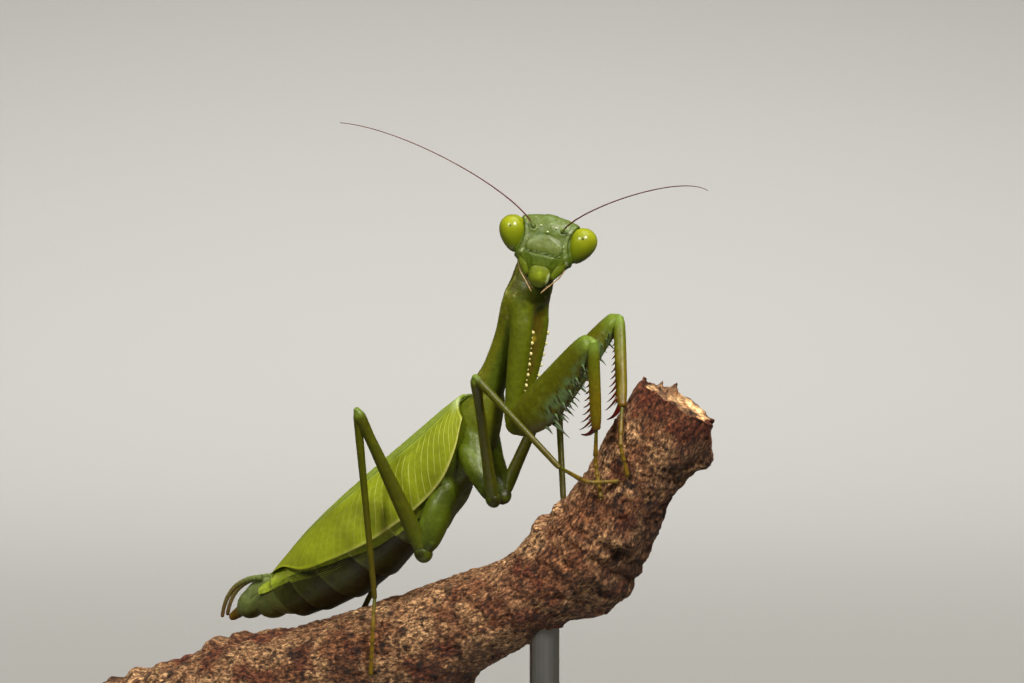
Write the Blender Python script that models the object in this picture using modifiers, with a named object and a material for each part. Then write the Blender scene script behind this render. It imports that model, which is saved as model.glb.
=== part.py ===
"""A giant green mantis, adult female, life size, on a cut length of branch on a display stand.

Frame: metres, +X the way the animal faces, +Y its left, +Z up, the origin under the middle of the base plate.
Sizes below are in millimetres and become metres where a mesh is made. Angles are in degrees.
A body length is built along its own axis, and each leg is a chain of lengths that start at its coxa.
"""

import math
from bisect import bisect_right

import bmesh
import bpy
from mathutils import Matrix, Vector

MM = 0.001
GAP = 0.3  # clear space where two pieces meet
LEFT = Vector((0, 1, 0))

# The trunk (thorax and abdomen) runs back and down from the hinge, and the prothorax runs forward and up from it.
HINGE = Vector((12.0, 0.0, 68.0))
TRUNK_PITCH = 36.0
PROTHORAX_PITCH = 66.5
THORAX_START, THORAX_END = -1.4, 9.6
ABDOMEN_CUTS = (9.9, 17.6, 25.4, 33.4)
TAIL_START, TAIL_END = 33.7, 39.6

# Rows: distance along the axis, half width, height of the back, height of the belly, height of the widest level.
TRUNK = (
    (-1.4, 1.5, 0.6, -1.5, -0.4),
    (0.0, 1.9, 1.0, -2.9, -0.8),
    (2.0, 2.3, 1.2, -4.5, -1.2),
    (5.0, 2.7, 1.2, -5.6, -1.5),
    (9.6, 3.1, 1.2, -6.3, -1.6),
    (13.0, 3.6, 1.2, -6.9, -2.0),
    (17.0, 4.1, 1.1, -7.2, -2.4),
    (21.0, 4.5, 0.9, -7.4, -2.7),
    (25.0, 4.3, 0.7, -7.1, -2.6),
    (29.0, 3.4, 0.5, -6.1, -2.4),
    (32.0, 2.8, 0.5, -5.0, -1.8),
    (33.7, 2.4, 0.4, -4.1, -1.3),
    (36.0, 1.8, 0.4, -2.4, -0.7),
    (38.4, 1.2, 0.5, -1.3, -0.2),
    (39.6, 0.6, 0.4, -0.7, -0.1),
)
PROTHORAX = (
    (0.4, 1.4, 1.3, -1.5, 0.1),
    (1.4, 1.9, 1.6, -1.7, 0.2),
    (4.0, 1.7, 1.0, -1.6, 0.1),
    (7.5, 1.8, 0.9, -1.7, 0.0),
    (10.3, 2.4, 1.1, -2.2, 0.0),
    (11.6, 2.6, 1.2, -2.8, -0.1),
    (13.2, 2.2, 1.3, -3.2, -0.3),
    (15.2, 1.8, 1.4, -2.6, -0.2),
    (16.4, 1.3, 1.2, -1.7, -0.1),
)

# The tegmen follows the trunk. Rows: distance along the trunk, height of the ridge, height of the lower edge.
TEGMEN = (
    (1.5, 1.9, -1.3),
    (3.8, 2.05, -3.2),
    (7.0, 2.05, -4.7),
    (11.5, 2.05, -5.4),
    (14.6, 2.05, -5.4),
    (18.5, 2.0, -5.1),
    (22.5, 1.85, -4.2),
    (26.3, 1.6, -2.9),
    (29.3, 1.35, -0.7),
    (31.6, 1.3, 0.4),
    (32.6, 1.25, 0.8),
)
TEGMEN_STANDOFF = 0.92  # from the trunk's side to the outer face of the wing
TEGMEN_THICKNESS = 0.5

# The head's own frame is forward, left and up, with its origin midway between the eyes.
HEAD_CENTRE = HINGE + Vector((9.0, -1.3, 16.6))
HEAD_TURN, HEAD_ROLL = -60.0, -11.0
# Rows: height, half width, depth of the face, depth of the nape.
HEAD = (
    (2.10, 0.7, 0.2, -0.7),
    (1.95, 1.7, 0.6, -1.1),
    (1.60, 2.8, 0.9, -1.5),
    (0.90, 3.3, 1.2, -1.8),
    (0.00, 3.4, 1.4, -1.9),
    (-1.00, 3.5, 1.6, -1.8),
    (-1.80, 3.6, 1.6, -1.5),
    (-2.40, 3.2, 1.6, -1.3),
    (-3.00, 2.6, 1.5, -1.1),
    (-3.60, 1.9, 1.2, -0.8),
)
EYE_CENTRE = (0.0, 3.5, -0.2)
EYE_RADII = (1.4, 1.25, 1.8)
EYE_TILT, EYE_TAPER = 14.0, 0.15
ANTENNA_ROOT = (1.8, 1.5, 0.85)
# Handles of each feeler's curve, from its root, in the world's directions.
ANTENNA_CURVES = {
    "right": ((-1.1, -0.8, 3.2), (-10.1, -7.2, 9.6), (-15.5, -11.2, 10.2)),
    "left": ((2.2, -0.7, 2.2), (14.4, -0.1, 5.8), (19.4, -2.7, 4.1)),
}
FEELER_RADIUS = 0.26

# For each leg, the (length, azimuth, elevation) of its coxa, femur, tibia and the two halves of its tarsus.
LEGS = {
    "fore_right": ((12.2, -172, -83), (15.1, -12, 36), (8.6, 112, -80), (3.8, 131, -72), (3.4, -27, -76)),
    "fore_left": ((12.5, -158, -78), (16.0, 10, 44), (9.4, -50, -63), (4.2, -61, -68), (3.1, 54, -78)),
    "mid_right": ((5.9, 0, -53), (14.9, -65, 57), (12.3, 18, -45), (3.7, 70, -27), (2.9, 34, 2)),
    "mid_left": ((5.3, -20, -60), (14.5, 84, 56), (13.4, -45, -71), (4.5, 68, -68), (3.4, 173, -72)),
    "hind_right": ((6.6, -144, -70), (16.3, -117, 63), (20.1, 110, -74), (3.3, -67, -78), (4.8, 160, -81)),
    "hind_left": ((7.1, 158, -48), (16.6, 128, 34), (20.7, -108, -59), (4.0, 118, -66), (4.0, -145, -82)),
}
# Where each pair's coxae start: distance along the prothorax or trunk, half spacing and height.
COXA_ROOTS = {"fore": (11.2, 1.4, -1.8), "mid": (3.7, 2.0, -3.5), "hind": (8.1, 2.0, -5.5)}

# Limb rows: share of the length, half width, reach of the upper side, reach of the lower side.
LIMBS = {
    "fore_coxa": ((0, 0.8, 0.8, 0.8), (0.12, 1.05, 1.15, 1.15), (0.35, 1.1, 1.25, 1.25),
                  (0.7, 0.95, 1.05, 1.05), (0.92, 0.8, 0.9, 0.9), (1, 0.5, 0.6, 0.6)),
    "fore_femur": ((0, 0.6, 0.7, 0.9), (0.06, 0.9, 1.0, 1.7), (0.15, 1.1, 1.3, 2.2), (0.28, 1.2, 1.5, 2.4),
                   (0.4, 1.15, 1.5, 2.2), (0.52, 1.05, 1.5, 1.6), (0.7, 0.95, 1.5, 1.0),
                   (0.86, 0.85, 1.45, 0.6), (0.97, 0.7, 1.2, 0.5), (1, 0.4, 0.7, 0.35)),
    "fore_tibia": ((0, 0.45, 0.5, 0.4), (0.1, 0.55, 0.65, 0.55), (0.5, 0.55, 0.65, 0.6), (0.85, 0.5, 0.6, 0.6),
                   (1, 0.4, 0.45, 0.5)),
    "mid_coxa": ((0, 0.8, 0.9, 0.9), (0.3, 1.1, 1.2, 1.2), (0.85, 0.9, 1.0, 1.0), (1, 0.65, 0.7, 0.7)),
    "mid_femur": ((0, 0.5, 0.5, 0.5), (0.06, 0.65, 0.7, 0.7), (0.3, 0.55, 0.6, 0.6), (0.8, 0.48, 0.5, 0.5),
                  (0.96, 0.55, 0.58, 0.58), (1, 0.35, 0.35, 0.35)),
    "mid_tibia": ((0, 0.3, 0.3, 0.3), (0.05, 0.42, 0.42, 0.42), (0.5, 0.33, 0.33, 0.33), (0.97, 0.3, 0.3, 0.3),
                  (1, 0.26, 0.26, 0.26)),
    "hind_coxa": ((0, 0.9, 1.0, 1.0), (0.3, 1.25, 1.5, 1.5), (0.8, 1.15, 1.3, 1.3), (1, 0.7, 0.75, 0.75)),
    "hind_femur": ((0, 0.55, 0.6, 0.6), (0.06, 0.8, 0.85, 0.85), (0.3, 0.7, 0.8, 0.8), (0.8, 0.5, 0.55, 0.55),
                   (0.96, 0.55, 0.6, 0.6), (1, 0.35, 0.35, 0.35)),
    "hind_tibia": ((0, 0.3, 0.3, 0.3), (0.04, 0.42, 0.42, 0.42), (0.5, 0.34, 0.34, 0.34),
                   (0.97, 0.28, 0.28, 0.28), (1, 0.25, 0.25, 0.25)),
}
TARSUS_RADIUS = 0.27
CLAW_LENGTH, CLAW_CURL = 3.0, 95.0
FOLD_CLEARANCE = 1.2  # how far past a folded joint the next piece is cleared

# The branch: its lower end, its heading and a list of (length, slope, radius at the far end).
BRANCH_START = Vector((-45.2, -3.8, 27.5))
BRANCH_HEADING, BRANCH_START_RADIUS = 5.4, 5.6
BRANCH_RUNS = (
    (14.5, 19, 5.5), (14.5, 19, 5.5), (8, 13, 5.4), (9, 17.5, 5.2), (9.3, 19.5, 5.0), (9, 24.5, 4.8),
    (7.2, 32, 5.0), (5, 43, 4.9), (6.6, 55, 4.6), (4.3, 56, 4.7), (3.4, 56, 4.6),
)

BASE_LENGTH, BASE_WIDTH, BASE_HEIGHT = 96.0, 56.0, 6.0
BASE_CORNER, BASE_EDGE = 9.0, 0.8
ROD_RADIUS, ROD_DEPTH = 1.5, 3.0
ROD_PLACES = (-24.0, 18.0)

COLOURS = {
    "head_green": ((0.16, 0.26, 0.07), 0.4),
    "eye_lime": ((0.30, 0.38, 0.02), 0.15),
    "body_olive": ((0.11, 0.13, 0.02), 0.45),
    "belly_green": ((0.06, 0.09, 0.02), 0.5),
    "wing_green": ((0.25, 0.32, 0.03), 0.4),
    "leg_olive": ((0.08, 0.11, 0.01), 0.45),
    "tibia_ochre": ((0.18, 0.13, 0.01), 0.4),
    "feeler_brown": ((0.12, 0.02, 0.01), 0.5),
    "bark_brown": ((0.16, 0.10, 0.07), 0.9),
    "base_white": ((0.75, 0.74, 0.72), 0.4),
    "rod_steel": ((0.6, 0.6, 0.6), 0.3),
}


def make_material(name):
    """A plain finish from the colour table, made once."""
    if name in bpy.data.materials:
        return bpy.data.materials[name]
    material = bpy.data.materials.new(name)
    material.use_nodes = True
    shader = material.node_tree.nodes["Principled BSDF"]
    colour, roughness = COLOURS[name]
    shader.inputs["Base Color"].default_value = (*colour, 1)
    shader.inputs["Roughness"].default_value = roughness
    shader.inputs["Metallic"].default_value = 1.0 if name == "rod_steel" else 0.0
    return material


def direction(azimuth, elevation):
    a, e = math.radians(azimuth), math.radians(elevation)
    return Vector((math.cos(e) * math.cos(a), math.cos(e) * math.sin(a), math.sin(e)))


def row_at(rows, x):
    """The row at x, on a smooth curve through the rows of a table."""
    places = [row[0] for row in rows]
    i = min(max(bisect_right(places, x) - 1, 0), len(rows) - 2)
    step = places[i + 1] - places[i]
    t = (x - places[i]) / step

    def slope(k, column):
        low, high = rows[max(k - 1, 0)], rows[min(k + 1, len(rows) - 1)]
        return (high[column] - low[column]) / (high[0] - low[0]) * step

    found = [x]
    for column in range(1, len(rows[0])):
        a, b = rows[i][column], rows[i + 1][column]
        da, db = slope(i, column), slope(i + 1, column)
        found.append(
            a * (2 * t**3 - 3 * t**2 + 1)
            + b * (3 * t**2 - 2 * t**3)
            + da * (t**3 - 2 * t**2 + t)
            + db * (t**3 - t**2)
        )
    return found


def spread(start, end, count):
    return [start + (end - start) * k / (count - 1) for k in range(count)]


class Axis:
    """A straight body axis: a point is given by its distance along, to the left and up towards the back."""

    def __init__(self, origin, along, up):
        self.origin, self.along, self.up = origin, along, up

    def at(self, distance, left, height):
        return self.origin + self.along * distance + LEFT * left + self.up * height


TRUNK_AXIS = Axis(HINGE, -direction(0, TRUNK_PITCH), direction(180, 90 - TRUNK_PITCH))
PROTHORAX_AXIS = Axis(HINGE, direction(0, PROTHORAX_PITCH), direction(180, 90 - PROTHORAX_PITCH))


def oval(half_width, top, bottom, waist, sides, power=2.0):
    """(across, height) points of a section whose widest level is at the waist."""
    points = []
    for k in range(sides):
        angle = 2 * math.pi * k / sides
        c, s = math.cos(angle), math.sin(angle)
        across = half_width * math.copysign(abs(c) ** (2 / power), c)
        rise = (top - waist) if s > 0 else (waist - bottom)
        points.append((across, waist + rise * math.copysign(abs(s) ** (2 / power), s)))
    return points


def body_rings(axis, rows, start, end, count, sides, grow=0.0, power=2.0):
    rings = []
    for index, place in enumerate(spread(start, end, count)):
        _, half_width, top, bottom, waist = row_at(rows, place)
        section = oval(half_width + grow, top + grow, bottom - grow, waist, sides, power)
        place += {0: -grow, count - 1: grow}.get(index, 0)
        rings.append([axis.at(place, across, height) for across, height in section])
    return rings


def limb_rings(start, end, lower_side, rows, sides, grow=0.0, beyond=0.0):
    """Rings of a limb from start to end, whose lower side faces lower_side."""
    along = (end - start).normalized()
    down = (lower_side - along * lower_side.dot(along)).normalized()
    across = along.cross(down)
    length = (end - start).length
    rings = []
    for index, (share, half_width, upper, lower) in enumerate(rows):
        stretch = {0: -grow, len(rows) - 1: grow + beyond}.get(index, 0)
        centre = start + along * (share * length + stretch)
        section = oval(half_width + grow, lower + grow, -upper - grow, 0, sides)
        rings.append([centre + across * x + down * y for x, y in section])
    return rings


def add_rings(mesh, rings):
    """A closed tube through the rings, capped at both ends."""
    loops = [[mesh.verts.new(point * MM) for point in ring] for ring in rings]
    for low, high in zip(loops, loops[1:]):
        for k in range(len(low)):
            n = (k + 1) % len(low)
            mesh.faces.new((low[k], low[n], high[n], high[k]))
    mesh.faces.new(loops[0])
    mesh.faces.new(reversed(loops[-1]))


def add_spike(mesh, base, tip, radius, sides=4):
    """A closed cone from base to tip."""
    along = (tip - base).normalized()
    across = along.orthogonal().normalized()
    other = along.cross(across)
    ring = []
    for k in range(sides):
        angle = 2 * math.pi * k / sides
        ring.append(mesh.verts.new((base + (across * math.cos(angle) + other * math.sin(angle)) * radius) * MM))
    point = mesh.verts.new(tip * MM)
    mesh.faces.new(reversed(ring))
    for k in range(sides):
        mesh.faces.new((ring[k], ring[(k + 1) % sides], point))


def finish_mesh(name, mesh, material, collection, smooth=True):
    """Turns a bmesh into an object, with its faces pointing out."""
    bmesh.ops.recalc_face_normals(mesh, faces=mesh.faces)
    data = bpy.data.meshes.new(name)
    mesh.to_mesh(data)
    mesh.free()
    if smooth:
        data.shade_smooth()
    thing = bpy.data.objects.new(name, data)
    collection.objects.link(thing)
    if material:
        data.materials.append(make_material(material))
    else:
        thing.hide_render = True
        thing.display_type = "WIRE"
    return thing


def loft(name, rings, material=None):
    """A lofted solid in the model, or a hidden cutter if it has no material."""
    mesh = bmesh.new()
    add_rings(mesh, rings)
    return finish_mesh(name, mesh, material, MODEL if material else CUTTERS)


def combine(thing, other, operation):
    modifier = thing.modifiers.new(other.name, "BOOLEAN")
    modifier.operation = operation
    modifier.object = other
    modifier.solver = "EXACT"


def cut(thing, *cutters):
    for cutter in cutters:
        combine(thing, cutter, "DIFFERENCE")


def head_frame():
    """The head's axes: columns are forward, left and up."""
    forward = direction(HEAD_TURN, 0)
    level_left = Vector((0, 0, 1)).cross(forward)
    roll = Matrix.Rotation(math.radians(HEAD_ROLL), 3, forward)
    left = roll @ level_left
    return Matrix((forward, left, forward.cross(left))).transposed()


HEAD_AXES = head_frame()


def head_point(forward, left, up):
    return HEAD_CENTRE + HEAD_AXES @ Vector((forward, left, up))


def head_rings(grow=0.0):
    rings = []
    for index, (up, half_width, face, nape) in enumerate(HEAD):
        height = up + {0: grow, len(HEAD) - 1: -grow}.get(index, 0)
        middle = (face + nape) / 2
        section = oval(half_width + grow, face + grow, nape - grow, middle, 18, 2.3)
        rings.append([head_point(y, x, height) for x, y in section])
    return rings


def eyeball(name, centre, radii, axes, material):
    """An egg shape, narrower below, from a UV sphere turned to the given axes."""
    mesh = bmesh.new()
    bmesh.ops.create_uvsphere(mesh, u_segments=16, v_segments=10, radius=1.0)
    for vert in mesh.verts:
        taper = 1 + EYE_TAPER * vert.co.z
        local = Vector((vert.co.x * radii[0] * taper, vert.co.y * radii[1] * taper, vert.co.z * radii[2]))
        vert.co = (centre + axes @ local) * MM
    return finish_mesh(name, mesh, material, MODEL if material else CUTTERS)


def tube(name, points, radii, material):
    """A bevelled curve through the points, made a mesh with welded caps."""
    data = bpy.data.curves.new(name, "CURVE")
    data.dimensions = "3D"
    data.bevel_depth = MM
    data.bevel_resolution = 1
    data.use_fill_caps = True
    data.resolution_u = 1
    data.render_resolution_u = 0
    spline = data.splines.new("POLY")
    spline.points.add(len(points) - 1)
    for place, point, radius in zip(spline.points, points, radii):
        place.co = (*(point * MM), 1)
        place.radius = radius
    curve = bpy.data.objects.new(name + "_curve", data)
    MODEL.objects.link(curve)
    bpy.context.view_layer.update()
    solid = bpy.data.meshes.new_from_object(curve.evaluated_get(bpy.context.evaluated_depsgraph_get()))
    bpy.data.objects.remove(curve)
    mesh = bmesh.new()
    mesh.from_mesh(solid)
    bpy.data.meshes.remove(solid)
    bmesh.ops.remove_doubles(mesh, verts=mesh.verts, dist=0.00001)
    return finish_mesh(name, mesh, material, MODEL)


def bezier(points, count):
    """Points along the cubic curve of four handles."""
    found = []
    for t in spread(0, 1, count):
        weights = ((1 - t) ** 3, 3 * t * (1 - t) ** 2, 3 * t * t * (1 - t), t**3)
        found.append(sum((point * weight for point, weight in zip(points, weights)), Vector()))
    return found


def build_head():
    grown = loft("head_cutter", head_rings(GAP))
    head = loft("head", head_rings(), "head_green")
    for side, sign in (("left", 1), ("right", -1)):
        forward, left, up = EYE_CENTRE
        centre = head_point(forward, left * sign, up)
        axes = HEAD_AXES @ Matrix.Rotation(math.radians(-EYE_TILT * sign), 3, "X")
        eyeball(f"eye_{side}", centre, EYE_RADII, axes, "eye_lime")
        wider = [radius + GAP for radius in EYE_RADII]
        cut(head, eyeball(f"eye_{side}_cutter", centre, wider, axes, None))
        build_antenna(side, sign)
    build_mouth(grown)
    return grown


def build_antenna(side, sign):
    forward, left, up = ANTENNA_ROOT
    root = head_point(forward, left * sign, up)
    handles = [root] + [root + Vector(offset) for offset in ANTENNA_CURVES[side]]
    points = bezier(handles, 13)
    radii = [0.4] + [FEELER_RADIUS] * (len(points) - 1)
    tube(f"antenna_{side}", points, radii, "feeler_brown")


def build_mouth(head_cutter):
    """Labrum, mandibles and the two pairs of palps below the face."""
    labrum_rows = ((-3.2, 0.8, 1.75, 0.9), (-3.7, 1.05, 2.0, 0.8), (-4.5, 1.0, 1.8, 0.7), (-4.95, 0.55, 1.3, 0.8))
    mandible_rows = ((-3.4, 1.6, 0.5, -0.6), (-4.1, 1.45, 0.4, -0.5), (-4.7, 0.9, 0.35, -0.4))
    for name, rows in (("labrum", labrum_rows), ("mandibles", mandible_rows)):
        rings = []
        for up, half_width, face, nape in rows:
            section = oval(half_width, face, nape, (face + nape) / 2, 12)
            rings.append([head_point(y, x, up) for x, y in section])
        cut(loft(name, rings, "head_green"), head_cutter)
    for side, sign in (("left", 1), ("right", -1)):
        points = [
            head_point(0.9, 1.75 * sign, -4.1),
            head_point(1.0, 1.2 * sign, -4.9),
            head_point(0.95, 0.44 * sign, -5.65),
        ]
        tube(f"palp_{side}", points, (FEELER_RADIUS,) * 3, "head_green")


def build_body(head_cutter):
    prothorax_cutter = loft("prothorax_cutter", body_rings(PROTHORAX_AXIS, PROTHORAX, 0.4, 16.4, 13, 16, GAP, 1.8))
    prothorax = loft("prothorax", body_rings(PROTHORAX_AXIS, PROTHORAX, 0.4, 16.4, 13, 16, 0, 1.8), "body_olive")
    cut(prothorax, head_cutter)
    nape = head_point(-1.4, -0.3, -0.6)
    front = PROTHORAX_AXIS.at(15.6, 0, -0.1)
    rows = ((0, 0.95, 0.95, 0.95), (0.5, 0.85, 0.85, 0.85), (1, 0.9, 0.9, 0.9))
    neck = loft("neck", limb_rings(front, nape, -LEFT, rows, 12), "body_olive")
    cut(neck, head_cutter, prothorax_cutter)

    thorax = loft("thorax", body_rings(TRUNK_AXIS, TRUNK, THORAX_START, THORAX_END, 9, 16), "body_olive")
    cut(thorax, prothorax_cutter)
    for number, (start, end) in enumerate(zip(ABDOMEN_CUTS, ABDOMEN_CUTS[1:]), 1):
        last = end - (GAP if number < 3 else 0)
        loft(f"abdomen_{number}", body_rings(TRUNK_AXIS, TRUNK, start, last, 6, 20, 0, 2.1), "belly_green")
    build_tail()
    trunk_cutter = loft("trunk_cutter", body_rings(TRUNK_AXIS, TRUNK, THORAX_START, TAIL_END, 28, 16, GAP, 2.1))
    return prothorax_cutter, trunk_cutter


def build_tail():
    """The last belly plate with the short ovipositor, and the two cerci."""
    plate = loft("tail_plate", body_rings(TRUNK_AXIS, TRUNK, TAIL_START, TAIL_END, 6, 14), "belly_green")
    tip_rows = ((0, 0.5, 0.5, 0.5), (0.6, 0.4, 0.4, 0.4), (1, 0.25, 0.25, 0.25))
    start, end = TRUNK_AXIS.at(38.6, 0, -0.2), TRUNK_AXIS.at(40.8, 0, -0.3)
    ovipositor = loft("ovipositor_join", limb_rings(start, end, LEFT, tip_rows, 8))
    combine(plate, ovipositor, "UNION")
    for side, sign in (("left", 1), ("right", -1)):
        handles = [
            TRUNK_AXIS.at(34.3, 1.2 * sign, 1.05),
            TRUNK_AXIS.at(36.6, 1.3 * sign, 2.5),
            TRUNK_AXIS.at(39.0, 1.3 * sign, 2.8),
            TRUNK_AXIS.at(41.2, 1.2 * sign, 0.7),
        ]
        points = bezier(handles, 8)
        radii = [0.36 - 0.014 * k for k in range(len(points))]
        tube(f"cercus_{side}", points, radii, "body_olive")


def tegmen_point(place, share, sign, grow):
    """A point of a fore wing's outer face: share runs from the ridge (0) round to the lower edge (1)."""
    _, ridge, edge = row_at(TEGMEN, place)
    _, half_width, _, bottom, waist = row_at(TRUNK, place)
    bulge = half_width + TEGMEN_STANDOFF + grow
    rise, fall = ridge + grow - waist, waist - bottom + TEGMEN_STANDOFF + grow
    drop = edge - grow - waist
    last = math.asin(drop / (rise if drop > 0 else fall))
    first = math.acos((GAP / 2 + 0.1) / bulge)
    angle = first + (last - first) * share
    height = waist + math.sin(angle) * (rise if angle > 0 else fall)
    return TRUNK_AXIS.at(place, bulge * math.cos(angle) * sign, height)


def tegmen(name, sign, material=None, grow=0.0):
    """A leathery fore wing as an open sheet with a thickness, or a cutter that clears one."""
    mesh = bmesh.new()
    start, end = TEGMEN[0][0] - grow, TEGMEN[-1][0]
    grid = []
    for place in spread(start, end, 15):
        column = [mesh.verts.new(tegmen_point(place, share, sign, grow) * MM) for share in spread(0, 1, 9)]
        grid.append(column)
    for low, high in zip(grid, grid[1:]):
        for k in range(len(low) - 1):
            corners = (low[k], low[k + 1], high[k + 1], high[k])
            mesh.faces.new(corners if sign > 0 else corners[::-1])
    data = bpy.data.meshes.new(name)
    mesh.to_mesh(data)
    mesh.free()
    wing = bpy.data.objects.new(name, data)
    if material:
        data.shade_smooth()
        data.materials.append(make_material(material))
        MODEL.objects.link(wing)
    else:
        wing.hide_render = True
        wing.display_type = "WIRE"
        CUTTERS.objects.link(wing)
    shell = wing.modifiers.new("thickness", "SOLIDIFY")
    shell.thickness = (TEGMEN_THICKNESS + 2 * grow) * MM
    shell.offset = -1.0
    return wing


def leg_joints(leg):
    """The six joints of a leg, from the coxa's root to the toe."""
    pair, side = leg.split("_")
    place, half_spacing, height = COXA_ROOTS[pair]
    axis = PROTHORAX_AXIS if pair == "fore" else TRUNK_AXIS
    joints = [axis.at(place, half_spacing if side == "left" else -half_spacing, height)]
    for length, azimuth, elevation in LEGS[leg]:
        joints.append(joints[-1] + direction(azimuth, elevation) * length)
    return joints


def femur_spines(knee_end, hip_end, lower, across):
    """Two rows of spines below the fore femur, and the long discoidal ones between them."""
    mesh = bmesh.new()
    length = (knee_end - hip_end).length
    along = (knee_end - hip_end).normalized()
    rows = LIMBS["fore_femur"]

    def add(share, side, reach, radius, lean=0.1):
        _, half_width, _, depth = row_at(rows, share)
        base = hip_end + along * share * length + lower * (depth - 0.35) + across * side * half_width * 0.45
        tip = base + (lower + along * lean + across * side * 0.35).normalized() * (reach + 0.35)
        add_spike(mesh, base, tip, radius)

    for k in range(4):
        add(0.42 + 0.13 * k, 1, 1.0, 0.26)
    for k in range(10):
        add(0.4 + 0.055 * k, -1, 0.9 if k % 2 else 0.55, 0.2)
    for k, reach in enumerate((1.2, 2.0, 1.3)):
        add(0.33 + 0.05 * k, 0, reach, 0.3, 0.6)
    return finish_mesh("femur_spines", mesh, None, CUTTERS, False)


def tibia_spines(knee, end, lower, across):
    """Two combs of spines along the fore tibia, longer towards the claw."""
    mesh = bmesh.new()
    length = (end - knee).length
    along = (end - knee).normalized()
    for side in (1, -1):
        for k in range(9):
            share = 0.22 + 0.085 * k
            reach = 0.5 + 0.09 * k
            base = knee + along * share * length + lower * 0.3 + across * side * 0.25
            tip = base + (lower + along * 0.8 + across * side * 0.25).normalized() * (reach + 0.3)
            add_spike(mesh, base, tip, 0.17)
    return finish_mesh("tibia_spines", mesh, None, CUTTERS, False)


def coxa_teeth(root, tip, front, across):
    """A row of blunt teeth along the front edge of the fore coxa."""
    mesh = bmesh.new()
    length = (tip - root).length
    along = (tip - root).normalized()
    for k in range(7):
        share = 0.2 + 0.06 * k
        _, _, _, depth = row_at(LIMBS["fore_coxa"], share)
        base = root + along * share * length + front * (depth - 0.3) + across * 0.2
        add_spike(mesh, base, base + front * 0.65, 0.22)
    return finish_mesh("coxa_teeth", mesh, None, CUTTERS, False)


def claw(name, end, along, lower, across, grow=0.0):
    """The hooked claw at the end of the fore tibia, curling towards the femur."""
    rings = []
    steps = 6
    centre = end - along * 0.8
    heading = along.copy()
    for k in range(steps + 1):
        share = k / steps
        radius = 0.42 * (1 - share) + 0.07 + grow
        side = heading.cross(across)
        section = oval(radius * 0.8, radius, -radius, 0, 8)
        rings.append([centre + across * x + side * y for x, y in section])
        heading = Matrix.Rotation(math.radians(CLAW_CURL / steps), 3, along.cross(lower)) @ heading
        centre = centre + heading * (CLAW_LENGTH / steps)
    return loft(name, rings)


def square_to(direction_wanted, along):
    """direction_wanted made square to along, at unit length."""
    return (direction_wanted - along * direction_wanted.dot(along)).normalized()


def build_leg(leg, body_cutters):
    """Coxa, femur, tibia and tarsus of one leg, each cut clear of the piece before it."""
    pair, side = leg.split("_")
    root, hip, knee, ankle, instep, toe = leg_joints(leg)
    outer = LEFT if side == "left" else -LEFT
    pieces = (
        ("coxa", root, hip, knee - hip, "leg_olive", 12 if pair == "fore" else 10),
        ("femur", hip, knee, ankle - knee, "leg_olive", 12 if pair == "fore" else 8),
        ("tibia", knee, ankle, hip - knee, "tibia_ochre" if pair == "fore" else "leg_olive", 8),
    )
    before = body_cutters
    for index, (part, start, end, lower_side, material, count) in enumerate(pieces):
        rows = LIMBS[f"{pair}_{part}"]
        name = f"{part}_{leg}"
        piece = loft(name, limb_rings(start, end, lower_side, rows, count), material)
        along = (end - start).normalized()
        lower = square_to(lower_side, along)
        across = along.cross(lower)
        if across.dot(outer) < 0:
            across = -across
        if pair == "fore" and part == "coxa":
            combine(piece, coxa_teeth(start, end, lower, across), "UNION")
        if pair == "fore" and part == "femur":
            combine(piece, femur_spines(end, start, lower, across), "UNION")
        if pair == "fore" and part == "tibia":
            combine(piece, claw(f"{name}_claw", end, along, lower, across), "UNION")
            combine(piece, tibia_spines(start, end, lower, across), "UNION")
        cut(piece, *before)
        folded = along.dot(direction(*LEGS[leg][index + 1][1:])) < 0
        beyond = FOLD_CLEARANCE if folded else 0.0
        before = (loft(f"{name}_cutter", limb_rings(start, end, lower_side, rows, count, GAP, beyond)),)
        if pair == "fore" and part == "tibia":
            before += (claw(f"{name}_claw_cutter", end, along, lower, across, GAP),)
    tarsus = tube(f"tarsus_{leg}", (ankle, instep, toe), (TARSUS_RADIUS,) * 3, "tibia_ochre")
    cut(tarsus, *before)


def branch_line():
    """(centre, radius, heading) at each bend of the branch, from its lower end."""
    point = BRANCH_START.copy()
    stops = [(point, BRANCH_START_RADIUS, direction(BRANCH_HEADING, BRANCH_RUNS[0][1]))]
    for length, slope, radius in BRANCH_RUNS:
        heading = direction(BRANCH_HEADING, slope)
        point = point + heading * length
        stops.append((point, radius, heading))
    return stops


def branch_rings(sides=12):
    stops = branch_line()
    table = [(index, *centre, radius) for index, (centre, radius, _) in enumerate(stops)]
    places = spread(0, len(stops) - 1, 20)
    centres = [Vector(row_at(table, place)[1:4]) for place in places]
    rings = []
    for index, place in enumerate(places):
        before, after = centres[max(index - 1, 0)], centres[min(index + 1, len(centres) - 1)]
        along = (after - before).normalized()
        across = along.cross(Vector((0, 0, 1))).normalized()
        upward = across.cross(along)
        radius = row_at(table, place)[4]
        ring = []
        for k in range(sides):
            angle = 2 * math.pi * k / sides
            knobs = 1 + 0.02 * math.sin(3 * angle + 1.7 * place) + 0.015 * math.sin(5 * angle - 2.3 * place)
            offset = across * math.cos(angle) + upward * math.sin(angle)
            ring.append(centres[index] + offset * radius * knobs)
        rings.append(ring)
    return rings


def cylinder(name, radius, low, high, material):
    """An upright cylinder between two points on one vertical line."""
    mesh = bmesh.new()
    bmesh.ops.create_cone(
        mesh, cap_ends=True, segments=20, radius1=radius * MM, radius2=radius * MM, depth=(high.z - low.z) * MM
    )
    bmesh.ops.translate(mesh, verts=mesh.verts, vec=(low + high) / 2 * MM)
    return finish_mesh(name, mesh, material, MODEL if material else CUTTERS)


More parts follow.
